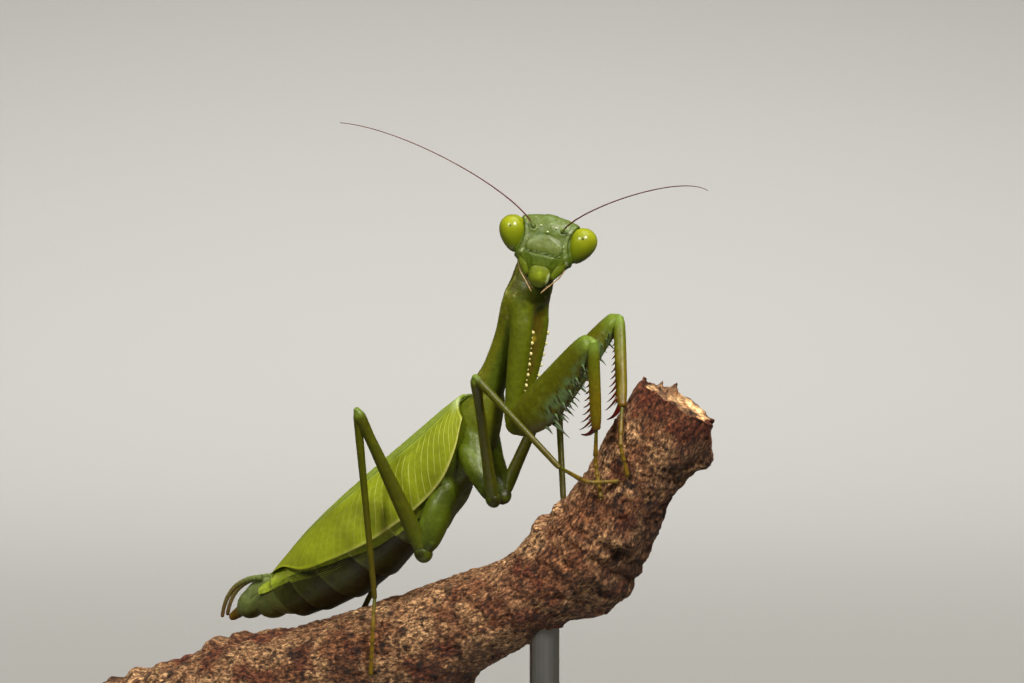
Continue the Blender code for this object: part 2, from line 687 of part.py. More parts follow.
def height_of_underside(x):
    """(y, z) of the branch's underside above x."""
    stops = branch_line()
    for (low, radius, _), (high, _, heading) in zip(stops, stops[1:]):
        if low.x <= x <= high.x:
            share = (x - low.x) / (high.x - low.x)
            centre = low.lerp(high, share)
            slope = math.sqrt(heading.x**2 + heading.y**2)
            return centre.y, centre.z - radius / slope
    raise ValueError("no branch above this place")


def build_branch():
    """The perch, with the rods let into blind holes in its underside."""
    branch = loft("branch", branch_rings(), "bark_brown")
    for number, x in enumerate(ROD_PLACES, 1):
        y, underside = height_of_underside(x)
        top = Vector((x, y, underside + ROD_DEPTH))
        foot = Vector((x, y, BASE_HEIGHT + GAP))
        cylinder(f"stand_rod_{number}", ROD_RADIUS, foot, top, "rod_steel")
        hole = cylinder(f"rod_hole_{number}", ROD_RADIUS + GAP, foot, top + Vector((0, 0, GAP)), None)
        cut(branch, hole)


def build_base():
    """A flat plate with rounded corners and an eased upper edge."""
    mesh = bmesh.new()
    bmesh.ops.create_cube(mesh, size=1.0)
    for vert in mesh.verts:
        scaled = Vector((vert.co.x * BASE_LENGTH, vert.co.y * BASE_WIDTH, (vert.co.z + 0.5) * BASE_HEIGHT))
        vert.co = scaled * MM
    corners = [edge for edge in mesh.edges if abs(edge.verts[0].co.z - edge.verts[1].co.z) > BASE_HEIGHT * MM / 2]
    bmesh.ops.bevel(mesh, geom=corners, offset=BASE_CORNER * MM, segments=5, profile=0.5, affect="EDGES")
    top = [edge for edge in mesh.edges if min(v.co.z for v in edge.verts) > BASE_HEIGHT * MM * 0.99]
    bmesh.ops.bevel(mesh, geom=top, offset=BASE_EDGE * MM, segments=2, profile=0.5, affect="EDGES")
    finish_mesh("stand_base", mesh, "base_white", MODEL, False)


for existing in list(bpy.data.objects):
    bpy.data.objects.remove(existing)
MODEL = bpy.data.collections.new("praying_mantis")
CUTTERS = bpy.data.collections.new("cutters")
for group in (MODEL, CUTTERS):
    bpy.context.scene.collection.children.link(group)

HEAD_CUTTER = build_head()
PROTHORAX_CUTTER, TRUNK_CUTTER = build_body(HEAD_CUTTER)
for SIDE, SIGN in (("left", 1), ("right", -1)):
    tegmen(f"tegmen_{SIDE}", SIGN, "wing_green")
    WING_CUTTER = tegmen(f"tegmen_{SIDE}_cutter", SIGN, None, GAP + 0.12)
    build_leg(f"fore_{SIDE}", (PROTHORAX_CUTTER,))
    for PAIR in ("mid", "hind"):
        build_leg(f"{PAIR}_{SIDE}", (TRUNK_CUTTER, WING_CUTTER))
build_branch()
build_base()
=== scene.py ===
"""The looks of a giant green mantis on its perch.

One skin covers the flesh. The eyes, feelers, palps, wings, spines, teeth, claws and the bark are pieces of
their own.

Frame: metres, +X the way the animal faces, +Y its left, +Z up, the origin under the middle of the base plate.
Sizes below are in millimetres and become metres where a mesh is made. Angles are in degrees, colours in sRGB.
"""

import math
import random
from bisect import bisect_right
from functools import cache

import bmesh
import bpy
from mathutils import Matrix, Vector, kdtree, noise


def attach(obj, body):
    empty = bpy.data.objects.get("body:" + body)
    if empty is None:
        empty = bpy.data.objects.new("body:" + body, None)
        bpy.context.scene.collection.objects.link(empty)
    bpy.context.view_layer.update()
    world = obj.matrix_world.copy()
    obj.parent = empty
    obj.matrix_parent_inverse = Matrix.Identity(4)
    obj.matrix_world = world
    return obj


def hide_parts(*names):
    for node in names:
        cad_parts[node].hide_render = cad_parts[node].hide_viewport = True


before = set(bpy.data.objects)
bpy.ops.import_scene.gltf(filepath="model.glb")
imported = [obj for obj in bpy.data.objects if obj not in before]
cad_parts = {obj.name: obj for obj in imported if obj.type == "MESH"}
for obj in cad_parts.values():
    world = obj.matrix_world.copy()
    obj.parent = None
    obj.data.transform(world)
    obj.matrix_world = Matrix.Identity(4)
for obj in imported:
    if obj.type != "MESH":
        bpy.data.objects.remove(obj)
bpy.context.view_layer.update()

MM = 0.001
LEFT = Vector((0, 1, 0))
UP = Vector((0, 0, 1))
SIDES = (("left", 1), ("right", -1))
random.seed(11)

# The animal's tables are those of its solids, with a slimmer chin and wing tip and deeper front femora.
HINGE = Vector((12.0, 0.0, 68.0))
TRUNK_PITCH, PROTHORAX_PITCH = 36.0, 66.5
# Rows: distance along the axis, half width, height of the back, of the belly and of the widest level.
TRUNK = (
    (-1.4, 1.5, 0.6, -1.5, -0.4), (0.0, 1.9, 1.0, -2.9, -0.8), (2.0, 2.3, 1.2, -4.5, -1.2),
    (5.0, 2.7, 1.2, -5.6, -1.5), (9.6, 3.1, 1.2, -6.3, -1.6), (13.0, 3.6, 1.2, -6.9, -2.0),
    (17.0, 4.1, 1.1, -7.2, -2.4), (21.0, 4.5, 0.9, -7.4, -2.7), (25.0, 4.3, 0.7, -7.1, -2.6),
    (29.0, 3.4, 0.5, -6.1, -2.4), (32.0, 2.8, 0.5, -5.0, -1.8), (33.7, 2.4, 0.4, -4.1, -1.3),
    (36.0, 1.8, 0.4, -2.4, -0.7), (38.4, 1.2, 0.5, -1.3, -0.2), (39.6, 0.6, 0.4, -0.7, -0.1),
)
PROTHORAX = (
    (0.4, 1.4, 1.3, -1.5, 0.1), (1.4, 1.9, 1.6, -1.7, 0.2), (4.0, 1.7, 1.0, -1.6, 0.1),
    (7.5, 1.8, 0.9, -1.7, 0.0), (10.3, 2.4, 1.1, -2.2, 0.0), (11.6, 2.6, 1.2, -2.8, -0.1),
    (13.2, 2.2, 1.3, -3.2, -0.3), (15.2, 1.8, 1.4, -2.6, -0.2), (16.4, 1.3, 1.2, -1.7, -0.1),
)
# Rows: distance along the trunk, height of the wing's ridge, height of its lower edge.
TEGMEN = (
    (1.5, 1.9, -1.3), (3.8, 2.05, -3.2), (7.0, 2.05, -4.7), (11.5, 2.05, -5.4), (14.6, 2.05, -5.4),
    (18.5, 2.0, -5.1), (22.5, 1.85, -4.2), (26.3, 1.6, -2.9), (29.3, 1.3, -0.7), (31.6, 1.1, 0.15),
    (32.7, 0.85, 0.45),
)
TEGMEN_STANDOFF = 0.92
# Rows: height, half width, depth of the face, depth of the nape.
HEAD = (
    (2.10, 0.7, 0.2, -0.7), (1.95, 1.7, 0.6, -1.1), (1.60, 2.8, 0.9, -1.5), (0.90, 3.3, 1.2, -1.8),
    (0.00, 3.4, 1.4, -1.9), (-1.00, 3.5, 1.6, -1.8), (-1.80, 3.5, 1.6, -1.5), (-2.40, 2.95, 1.6, -1.3),
    (-3.00, 2.35, 1.55, -1.1), (-3.60, 1.8, 1.42, -0.8),
)
HEAD_CENTRE = HINGE + Vector((9.0, -1.3, 16.6))
HEAD_TURN, HEAD_ROLL = -60.0, -11.0
EYE_CENTRE, EYE_RADII = (0.05, 3.46, -0.32), (1.45, 1.34, 1.88)
EYE_TILT, EYE_TAPER = 17.0, 0.24
ANTENNA_ROOT = (1.25, 1.45, 0.75)
# Handles of each feeler's curve, from its root, in the world's directions.
ANTENNA_CURVES = {
    "right": ((-1.1, -0.8, 3.2), (-10.1, -7.2, 9.6), (-15.5, -11.2, 10.2)),
    "left": ((2.2, -0.7, 2.2), (14.4, -0.1, 5.8), (19.4, -2.7, 4.1)),
}
# For each leg, the (length, azimuth, elevation) of its coxa, femur, tibia and the two halves of its tarsus.
LEGS = {
    "fore_right": ((12.2, -172, -83), (15.1, -12, 36), (8.6, 112, -80), (3.8, 131, -72), (3.4, -27, -76)),
    "fore_left": ((12.5, -158, -78), (16.0, 10, 44), (9.4, -50, -63), (4.2, -61, -68), (3.1, 54, -78)),
    "mid_right": ((5.9, 0, -53), (14.9, -65, 57), (12.3, 18, -45), (3.7, 70, -27), (2.9, 34, 2)),
    "mid_left": ((5.3, -20, -60), (14.5, 84, 56), (13.4, -45, -71), (4.5, 68, -68), (3.4, 173, -72)),
    "hind_right": ((6.6, -144, -70), (16.3, -117, 63), (20.1, 110, -74), (3.3, -67, -78), (4.8, 160, -81)),
    "hind_left": ((7.1, 158, -48), (16.6, 128, 34), (20.7, -108, -59), (4.0, 118, -66), (4.0, -145, -82)),
}
COXA_ROOTS = {"fore": (11.2, 1.4, -1.8), "mid": (3.7, 2.0, -3.5), "hind": (8.1, 2.0, -5.5)}
# Limb rows: share of the length, half width, reach of the upper side, reach of the lower side.
LIMBS = {
    "fore_coxa": ((0, 0.8, 0.8, 0.8), (0.12, 1.05, 1.15, 1.15), (0.35, 1.1, 1.25, 1.25),
                  (0.7, 0.95, 1.05, 1.05), (0.92, 0.8, 0.9, 0.9), (1, 0.5, 0.6, 0.6)),
    "fore_femur": ((0, 0.6, 0.7, 0.9), (0.06, 0.9, 1.0, 1.7), (0.15, 1.1, 1.3, 2.3), (0.28, 1.2, 1.5, 2.85),
                   (0.4, 1.15, 1.5, 2.95), (0.52, 1.05, 1.5, 2.65), (0.7, 0.95, 1.5, 1.95),
                   (0.86, 0.85, 1.45, 1.15), (0.97, 0.7, 1.2, 0.55), (1, 0.4, 0.7, 0.35)),
    "fore_tibia": ((0, 0.45, 0.5, 0.4), (0.1, 0.55, 0.65, 0.55), (0.5, 0.55, 0.65, 0.6),
                   (0.85, 0.5, 0.6, 0.6), (1, 0.4, 0.45, 0.5)),
    "mid_coxa": ((0, 0.8, 0.9, 0.9), (0.3, 1.1, 1.2, 1.2), (0.85, 0.9, 1.0, 1.0), (1, 0.65, 0.7, 0.7)),
    "mid_femur": ((0, 0.5, 0.5, 0.5), (0.06, 0.65, 0.7, 0.7), (0.3, 0.55, 0.6, 0.6), (0.8, 0.48, 0.5, 0.5),
                  (0.96, 0.55, 0.58, 0.58), (1, 0.35, 0.35, 0.35)),
    "mid_tibia": ((0, 0.3, 0.3, 0.3), (0.05, 0.42, 0.42, 0.42), (0.5, 0.33, 0.33, 0.33),
                  (0.97, 0.3, 0.3, 0.3), (1, 0.26, 0.26, 0.26)),
    "hind_coxa": ((0, 0.9, 1.0, 1.0), (0.3, 1.25, 1.5, 1.5), (0.8, 1.15, 1.3, 1.3), (1, 0.7, 0.75, 0.75)),
    "hind_femur": ((0, 0.55, 0.6, 0.6), (0.06, 0.8, 0.85, 0.85), (0.3, 0.7, 0.8, 0.8), (0.8, 0.5, 0.55, 0.55),
                   (0.96, 0.55, 0.6, 0.6), (1, 0.35, 0.35, 0.35)),
    "hind_tibia": ((0, 0.3, 0.3, 0.3), (0.04, 0.42, 0.42, 0.42), (0.5, 0.34, 0.34, 0.34),
                   (0.97, 0.28, 0.28, 0.28), (1, 0.25, 0.25, 0.25)),
}
TARSUS_RADIUS = 0.24
CLAW_LENGTH, CLAW_CURL = 3.0, 95.0
# The branch: its lower end, its heading and a list of (length, slope, radius at the far end).
BRANCH_START = Vector((-45.2, -3.8, 27.5))
BRANCH_HEADING, BRANCH_START_RADIUS = 5.4, 5.6
BRANCH_RUNS = (
    (14.5, 19, 5.5), (14.5, 19, 5.5), (8, 13, 5.4), (9, 17.5, 5.2), (9.3, 19.5, 5.0), (9, 24.5, 4.8),
    (7.2, 32, 5.0), (5, 43, 4.9), (6.6, 55, 4.6), (4.3, 56, 4.7), (3.4, 56, 4.6),
)

CAMERA_PLACE = Vector((314.86, -397.21, 91.36))
CAMERA_TARGET = Vector((14.13, 1.87, 73.91))
CAMERA_LENS = 174.02

# Ripples of the neck and of a feeler, in radians along the whole, and the joints of other thin parts.
NECK_FOLDS, FEELER_WAVES = 40, 420
PALP_JOINTS, TARSUS_JOINTS, CERCUS_JOINTS = 5, 5, 14
# How far the far cercus is set back.
CERCUS_SHIFT = 0.95
# Distances along the trunk at which the plates of the abdomen start and end.
PLATES_START = 9.0
BACK_PLATE_ENDS = (10.5, 15.6, 20.8, 25.5, 29.6, 32.5, 34.9)
BELLY_PLATE_ENDS = BACK_PLATE_ENDS[:6]
# How far each plate reaches under the one before it.
PLATE_TUCK, PLATE_THICKNESS = 0.9, 0.12
# Rows: distance along the trunk, height at which the back plates meet the belly plates.
PLATE_EDGE = (
    (8.0, -6.2), (17.3, -6.2), (21.0, -5.4), (25.5, -4.0), (29.1, -2.4), (31.2, -1.6), (33.4, -1.0),
    (35.0, -0.3), (39.0, 0.2),
)
# Where each coxa's shoulder starts: distance, share of the root's spacing, height, and its width there.
SHOULDERS = {"fore": (12.9, 0.75, -0.9, 1.55), "mid": (2.8, 0.5, -2.9, 1.6), "hind": (8.0, 0.45, -4.7, 1.85)}
# How far each toe moves towards the branch, over the gap that parts their solids.
FOOT_GAP = 0.35
FOOT_GAPS = {"mid_left": 0.68, "hind_left": 0.45, "hind_right": 0.45}


# --- colour -------------------------------------------------------------------------------------------------


def srgb(red, green, blue):
    """A linear colour from display values of 0 to 255."""

    def linear(value):
        value /= 255
        return value / 12.92 if value <= 0.04045 else ((value + 0.055) / 1.055) ** 2.4

    return Vector((linear(red), linear(green), linear(blue)))


HEAD_GREEN = srgb(88, 104, 40)
FACE_GREEN = srgb(74, 92, 12)
SHIELD_GREEN = srgb(100, 112, 52)
# Pale specks of the face, ocelli and wing roots, and the painted glints along the shield's lower edge.
PALE_SPECK_AND_GLINT = srgb(196, 210, 160)
FROST_GREEN = srgb(112, 132, 86)
LIP_LIME = srgb(108, 120, 18)
# Painted shade in the face's grooves: the shield's seam, the rings round the eyes and the feelers' sockets.
GROOVE_SHADE = srgb(40, 66, 12)
MOUTH_DARK = srgb(44, 26, 8)
PALP_TAN = srgb(170, 142, 100)
PALP_BAND = srgb(150, 122, 70)
EYE_TOP = srgb(144, 152, 18)
EYE_LOW = srgb(94, 112, 2)
PUPIL_DARK = srgb(26, 20, 4)
NECK_BROWN = srgb(74, 62, 14)
PRONOTUM_OLIVE = srgb(98, 100, 12)
THROAT_GREEN = srgb(76, 90, 14)
CHEST_GREEN = srgb(88, 98, 10)
CHEST_DARK = srgb(66, 76, 6)
COXA_GREEN = srgb(84, 92, 2)
# Painted shade on the fore coxa's hind face.
COXA_SHADE = srgb(66, 74, 4)
HAUNCH_GREEN = srgb(80, 94, 8)
HAUNCH_SHADE = srgb(58, 68, 6)
HAUNCH_DARK = srgb(40, 46, 12)
HIP_GREEN = srgb(66, 76, 10)
HIP_DARK = srgb(42, 42, 6)
BUMP_PALE = srgb(236, 226, 150)
SPOT_YELLOW = srgb(180, 160, 40)
FEMUR_OLIVE = srgb(88, 90, 2)
FEMUR_BROWN = srgb(84, 70, 8)
KNEE_GREEN = srgb(110, 132, 44)
TIBIA_OLIVE = srgb(92, 98, 6)
TIBIA_ORANGE = srgb(126, 80, 0)
SPINE_GREEN = srgb(96, 124, 80)
SPINE_DARK = srgb(48, 10, 4)
CLAW_RED = srgb(84, 8, 2)
WALK_GREEN = srgb(72, 80, 8)
WALK_OLIVE = srgb(67, 70, 0)
WALK_BROWN = srgb(78, 66, 6)
TARSUS_OLIVE = srgb(112, 88, 14)
TERGITE_LIME = srgb(150, 168, 40)
TERGITE_GREEN = srgb(112, 132, 28)
STERNITE_GREEN = srgb(60, 64, 18)
STERNITE_DARK = srgb(34, 30, 6)
TAIL_GREY = srgb(106, 118, 60)
TAIL_PALE = srgb(126, 138, 88)
VALVE_BROWN = srgb(104, 80, 20)
CERCUS_BROWN = srgb(112, 100, 54)
CERCUS_TIP = srgb(96, 74, 40)
WING_LIME = srgb(138, 150, 12)
WING_SHADE = srgb(108, 126, 12)
WING_BRIGHT = srgb(150, 160, 24)
WING_GREY = srgb(108, 128, 40)
VEIN_PALE = srgb(182, 190, 78)
EDGE_PALE = srgb(208, 208, 112)
# The feelers' own brown, partly reddened as painted light shining through them from behind.
FEELER_BROWN = srgb(84, 22, 12)
BARK_TAN = srgb(178, 148, 112)
BARK_BROWN = srgb(124, 86, 58)
BARK_RED = srgb(104, 52, 32)
BARK_DARK = srgb(38, 20, 14)
WOOD_PALE = srgb(174, 150, 114)
WOOD_BROWN = srgb(176, 132, 88)
LACQUER_WHITE = srgb(206, 204, 198)
STEEL_GREY = srgb(190, 192, 194)
FLOOR_GREY = srgb(176, 174, 169)


def mix(a, b, share):
    share = min(max(share, 0.0), 1.0)
    return a * (1 - share) + b * share


def coated(tint, *coats):
    """A colour under coats, each a (colour, share) pair."""
    for colour, share in coats:
        tint = mix(tint, colour, share)
    return tint


def ramp(value, start, end):
    """0 before start, 1 after end and a smooth rise between them. start may be the larger."""
    t = min(max((value - start) / (end - start), 0.0), 1.0)
    return t * t * (3 - 2 * t)


def near(value, centre, width):
    """1 at the centre and 0 from width away."""
    return ramp(abs(value - centre), width, 0.0)


def wrapped(angle):
    """The angle in radians brought between -pi and pi."""
    return (angle + math.pi) % (2 * math.pi) - math.pi


def mottle(point, size, seed=0.0):
    """Smooth noise of about -1 to 1 with patches of the given size."""
    return noise.noise(point / size + Vector((seed, seed * 1.7, -seed)))


def patches(point, size, seed, low, high):
    """0 where the mottle is below low and 1 where it is above high."""
    return ramp(mottle(point, size, seed), low, high)


# --- shape --------------------------------------------------------------------------------------------------


def direction(azimuth, elevation):
    a, e = math.radians(azimuth), math.radians(elevation)
    return Vector((math.cos(e) * math.cos(a), math.cos(e) * math.sin(a), math.sin(e)))


def spread(start, end, count):
    return [start + (end - start) * k / (count - 1) for k in range(count)]


def row_at(rows, x):
    """The row at x, on a smooth curve through the rows of a table."""
    places = [row[0] for row in rows]
    i = min(max(bisect_right(places, x) - 1, 0), len(rows) - 2)
    step = places[i + 1] - places[i]
    t = (x - places[i]) / step

    def slope(k, column):
        low, high = rows[max(k - 1, 0)], rows[min(k + 1, len(rows) - 1)]
        return (high[column] - low[column]) / (high[0] - low[0]) * step

    found = [x]
    for column in range(1, len(rows[0])):
        a, b = rows[i][column], rows[i + 1][column]
        da, db = slope(i, column), slope(i + 1, column)
        found.append(
            a * (2 * t**3 - 3 * t**2 + 1)
            + b * (3 * t**2 - 2 * t**3)
            + da * (t**3 - 2 * t**2 + t)
            + db * (t**3 - t**2)
        )
    return found


class Axis:
    """A straight body axis: a point is given by its distance along, to the left and up towards the back."""

    def __init__(self, origin, along, up):
        self.origin, self.along, self.up = origin, along, up

    def at(self, distance, left, height):
        return self.origin + self.along * distance + LEFT * left + self.up * height


TRUNK_AXIS = Axis(HINGE, -direction(0, TRUNK_PITCH), direction(180, 90 - TRUNK_PITCH))
PROTHORAX_AXIS = Axis(HINGE, direction(0, PROTHORAX_PITCH), direction(180, 90 - PROTHORAX_PITCH))


def head_frame():
    """The head's axes: columns are forward, left and up."""
    forward = direction(HEAD_TURN, 0)
    left = Matrix.Rotation(math.radians(HEAD_ROLL), 3, forward) @ UP.cross(forward)
    return Matrix((forward, left, forward.cross(left))).transposed()


HEAD_AXES = head_frame()


def head_point(forward, left, up):
    return HEAD_CENTRE + HEAD_AXES @ Vector((forward, left, up))


def in_head(point):
    """(forward, left, up) of a point in the head's frame."""
    return HEAD_AXES.transposed() @ (point - HEAD_CENTRE)


def oval_point(half_width, top, bottom, waist, turn, power=2.0):
    """(across, height) at a share of a turn round a section whose widest level is at the waist."""
    c, s = math.cos(2 * math.pi * turn), math.sin(2 * math.pi * turn)
    across = half_width * math.copysign(abs(c) ** (2 / power), c)
    rise = (top - waist) if s > 0 else (waist - bottom)
    return across, waist + rise * math.copysign(abs(s) ** (2 / power), s)


def middle(points):
    return sum(points, Vector()) / len(points)


def axes_of(along, across):
    """A matrix with these two directions and the one square to both as its columns."""
    return Matrix((along, across, along.cross(across))).transposed()


def round_ring(centre, across, other, size, sides):
    """Points of a circle spanned by two unit directions."""
    angles = [2 * math.pi * k / sides for k in range(sides)]
    return [centre + (across * math.cos(angle) + other * math.sin(angle)) * size for angle in angles]


def ball_rings(rings, segments, placed):
    """(share, points) for each level ring of a ball, from its upper pole down.

    placed(unit) moves a point of the ball of radius 1 to its place.
    """
    turns = [2 * math.pi * n / segments for n in range(segments)]
    found = []
    for k in range(1, rings):
        wide, high = math.sin(math.pi * k / rings), math.cos(math.pi * k / rings)
        units = [Vector((wide * math.cos(turn), wide * math.sin(turn), high)) for turn in turns]
        found.append((k / rings, [placed(unit) for unit in units]))
    return found


def bezier(points, count):
    """Points along the cubic curve of four handles."""
    found = []
    for t in spread(0, 1, count):
        weights = ((1 - t) ** 3, 3 * t * (1 - t) ** 2, 3 * t * t * (1 - t), t**3)
        found.append(sum((point * weight for point, weight in zip(points, weights)), Vector()))
    return found


class Surface:
    """The points, tints and faces of closed shells, in millimetres."""

    def __init__(self):
        self.points, self.tints, self.faces = [], [], []

    def add_rings(self, rings, paint, caps=(0.0, 0.0)):
        """A closed tube. rings holds (share, points), caps the depths of its rounded ends.

        paint(share, turn, point) gives a colour, where turn runs from 0 to 1 round a ring.
        """
        rings = round_end(rings, 0, 1, caps[0])[::-1] + rings + round_end(rings, -1, -2, caps[1])
        sides = len(rings[0][1])
        first = len(self.points)
        for share, ring in rings:
            self.points.extend(ring)
            self.tints.extend(paint(share, k / sides, point) for k, point in enumerate(ring))
        for row in range(len(rings) - 1):
            for k in range(sides):
                a, b = first + row * sides + k, first + row * sides + (k + 1) % sides
                self.faces.append((a, b, b + sides, a + sides))
        last = len(self.points) - sides
        for share, ring, start, flip in ((*rings[0], first, True), (*rings[-1], last, False)):
            pole = len(self.points)
            self.points.append(middle(ring))
            self.tints.append(paint(share, 0.0, self.points[-1]))
            for k in range(sides):
                a, b = start + k, start + (k + 1) % sides
                self.faces.append((b, a, pole) if flip else (a, b, pole))

    def add_cone(self, base, tip, radius, colours, bend=Vector(), sides=8, steps=6):
        """A tapering spine from base to tip that bows by bend and goes from one colour to the other."""
        along = (tip - base).normalized()
        across = along.orthogonal().normalized()
        other = along.cross(across)
        rings = []
        for share in spread(0, 0.97, steps):
            centre = base.lerp(tip, share) + bend * (4 * share * (1 - share))
            rings.append((share, round_ring(centre, across, other, radius * (1 - share) ** 0.8, sides)))
        self.add_rings(rings, lambda share, turn, point: mix(*colours, share))

    def add_ball(self, centre, radii, axes, paint, segments=24, rings=14):
        """An egg shape with the given radii along the columns of axes."""

        def placed(unit):
            return centre + axes @ Vector(unit[i] * radii[i] for i in range(3))

        self.add_rings(ball_rings(rings, segments, placed), paint)

    def add_sheet(self, outer, inner, paint):
        """A closed sheet between two like grids of points. paint(row, column, point) colours the outer."""
        rows, columns, first = len(outer), len(outer[0]), len(self.points)
        for i in range(rows):
            self.points.extend(outer[i])
            row = i / (rows - 1)
            self.tints.extend(paint(row, k / (columns - 1), point) for k, point in enumerate(outer[i]))
        for i in range(rows):
            self.points.extend(inner[i])
            self.tints.extend(self.tints[first + i * columns : first + (i + 1) * columns])
        back = rows * columns
        for i in range(rows - 1):
            for k in range(columns - 1):
                a = first + i * columns + k
                b, c, d = a + 1, a + columns + 1, a + columns
                self.faces += [(a, b, c, d), (back + a, back + d, back + c, back + b)]
        for i in range(rows - 1):
            start = first + i * columns
            for a in (start, start + columns - 1):
                self.faces.append((a, a + columns, back + a + columns, back + a))
        for k in range(columns - 1):
            for a in (first + k, first + (rows - 1) * columns + k):
                self.faces.append((a, a + 1, back + a + 1, back + a))

    def add_blend(self, shells, voxel, rounds):
        """The union of other shells with softened creases, in the tints of their nearest points."""
        data = bpy.data.meshes.new("blend")
        data.from_pydata(shells.points, [], shells.faces)
        thing = bpy.data.objects.new("blend", data)
        bpy.context.scene.collection.objects.link(thing)
        modifier = thing.modifiers.new("union", "REMESH")
        modifier.mode = "VOXEL"
        modifier.voxel_size = voxel
        solid = bpy.data.meshes.new_from_object(thing.evaluated_get(bpy.context.evaluated_depsgraph_get()))
        bpy.data.objects.remove(thing)
        mesh = bmesh.new()
        mesh.from_mesh(solid)
        every_way = {f"use_axis_{letter}": True for letter in "xyz"}
        for _ in range(rounds):
            bmesh.ops.smooth_vert(mesh, verts=mesh.verts, factor=0.5, **every_way)
        tree = kdtree.KDTree(len(shells.points))
        for index, point in enumerate(shells.points):
            tree.insert(point, index)
        tree.balance()
        first = len(self.points)
        for vert in mesh.verts:
            found = tree.find_n(vert.co, 6)
            weights = [1 / (distance + 0.03) ** 2 for _, _, distance in found]
            weighted = [shells.tints[index] * weight for (_, index, _), weight in zip(found, weights)]
            self.points.append(vert.co.copy())
            self.tints.append(sum(weighted, Vector((0, 0, 0))) / sum(weights))
        self.faces += [[first + vert.index for vert in face.verts] for face in mesh.faces]
        mesh.free()
        bpy.data.meshes.remove(solid)

    def make(self, name, material):
        """The object in metres, with its colours in the attribute named tint."""
        data = bpy.data.meshes.new(name)
        data.from_pydata([point * MM for point in self.points], [], self.faces)
        tint = data.color_attributes.new("tint", "FLOAT_COLOR", "POINT")
        tint.data.foreach_set("color", [value for colour in self.tints for value in (*colour, 1.0)])
        mesh = bmesh.new()
        mesh.from_mesh(data)
        bmesh.ops.recalc_face_normals(mesh, faces=mesh.faces)
        mesh.to_mesh(data)
        mesh.free()
        data.shade_smooth()
        data.materials.append(material)
        thing = bpy.data.objects.new(name, data)
        bpy.context.scene.collection.objects.link(thing)
        return thing


def round_end(rings, end, neighbour, depth, steps=5):
    """Rings that close an end with a dome of the given depth."""
    if not depth:
        return []
    share, ring = rings[end]
    centre = middle(ring)
    outward = (centre - middle(rings[neighbour][1])).normalized()
    found = []
    for k in range(1, steps + 1):
        angle = math.pi / 2 * k / (steps + 0.4)
        size, rise = math.cos(angle), depth * math.sin(angle)
        found.append((share, [centre + (point - centre) * size + outward * rise for point in ring]))
    return found


def body_rings(axis, rows, start, end, count, sides, power, relief):
    """Rings of a body length. relief(place, turn) moves a point out from the axis."""
    rings = []
    for place in spread(start, end, count):
        _, half_width, top, bottom, waist = row_at(rows, place)
        ring = []
        for k in range(sides):
            across, height = oval_point(half_width, top, bottom, waist, k / sides, power)
            out = Vector((across, height - waist)).normalized() * relief(place, k / sides)
            ring.append(axis.at(place, across + out.x, height + out.y))
        rings.append((place, ring))
    return rings


def limb_rings(start, end, lower_side, rows, count, sides, relief=None):
    """Rings of a limb. A quarter turn is its lower side and three quarters of one its upper side."""
    along = (end - start).normalized()
    down = square_to(lower_side, along)
    across = along.cross(down)
    rings = []
    for share in spread(0, 1, count):
        _, half_width, upper, lower = row_at(rows, share)
        centre = start.lerp(end, share)
        ring = []
        for k in range(sides):
            x, y = oval_point(half_width, lower, -upper, 0.0, k / sides)
            more = 1 + (relief(share, k / sides) if relief else 0.0)
            ring.append(centre + across * x * more + down * y * more)
        rings.append((share, ring))
    return rings


def tube_rings(points, radius_at, sides=14):
    """Rings round a polyline, turned as little as possible from one to the next."""
    rings = []
    across = None
    for index, point in enumerate(points):
        before, after = points[max(index - 1, 0)], points[min(index + 1, len(points) - 1)]
        along = (after - before).normalized()
        across = square_to(across, along) if across else along.orthogonal().normalized()
        other = along.cross(across)
        share = index / (len(points) - 1)
        rings.append((share, round_ring(point, across, other, radius_at(share), sides)))
    return rings


def square_to(wanted, along):
    """wanted made square to along, at unit length."""
    return (wanted - along * wanted.dot(along)).normalized()


def smooth_path(corners, count, rounding=0.8):
    """Points along a polyline with its corners rounded off."""
    lengths = [(b - a).length for a, b in zip(corners, corners[1:])]
    total = sum(lengths)

    def at(distance):
        distance = min(max(distance, 0.0), total)
        for a, b, length in zip(corners, corners[1:], lengths):
            if distance <= length:
                return a.lerp(b, distance / length)
            distance -= length
        return corners[-1].copy()

    found = []
    for distance in spread(0, total, count):
        reach = min(rounding, distance, total - distance)
        found.append((at(distance - reach) + at(distance) * 2 + at(distance + reach)) / 4)
    return found


# --- the skin -----------------------------------------------------------------------------------------------


def on_shield(left, up):
    """How far a face point lies inside the frontal shield's outline, in millimetres."""
    half = 1.88 - 0.22 * ramp(up, -1.1, -1.7) - 0.25 * ramp(up, -0.9, -0.3)
    top = 0.08 - 0.24 * left * left
    low = -1.72 - 0.05 * left
    return min(half - abs(left), (top - up) * 0.8, up - low)


def on_clypeus(left, up):
    """How far a face point lies inside the plate between the shield and the labrum."""
    half = 1.35 + 0.3 * (up + 1.7)
    return min(half - abs(left), -1.86 - up, up + 3.1)


def eye_distance(forward, left, up):
    """Roughly how far a head point lies from the nearer eye's surface."""
    sign = 1 if left > 0 else -1
    tilt = Matrix.Rotation(math.radians(EYE_TILT * sign), 3, "X")
    centre = Vector((EYE_CENTRE[0], EYE_CENTRE[1] * sign, EYE_CENTRE[2]))
    local = tilt @ (Vector((forward, left, up)) - centre)
    scaled = Vector(local[i] / EYE_RADII[i] for i in range(3))
    return (scaled.length - 1) * 1.4


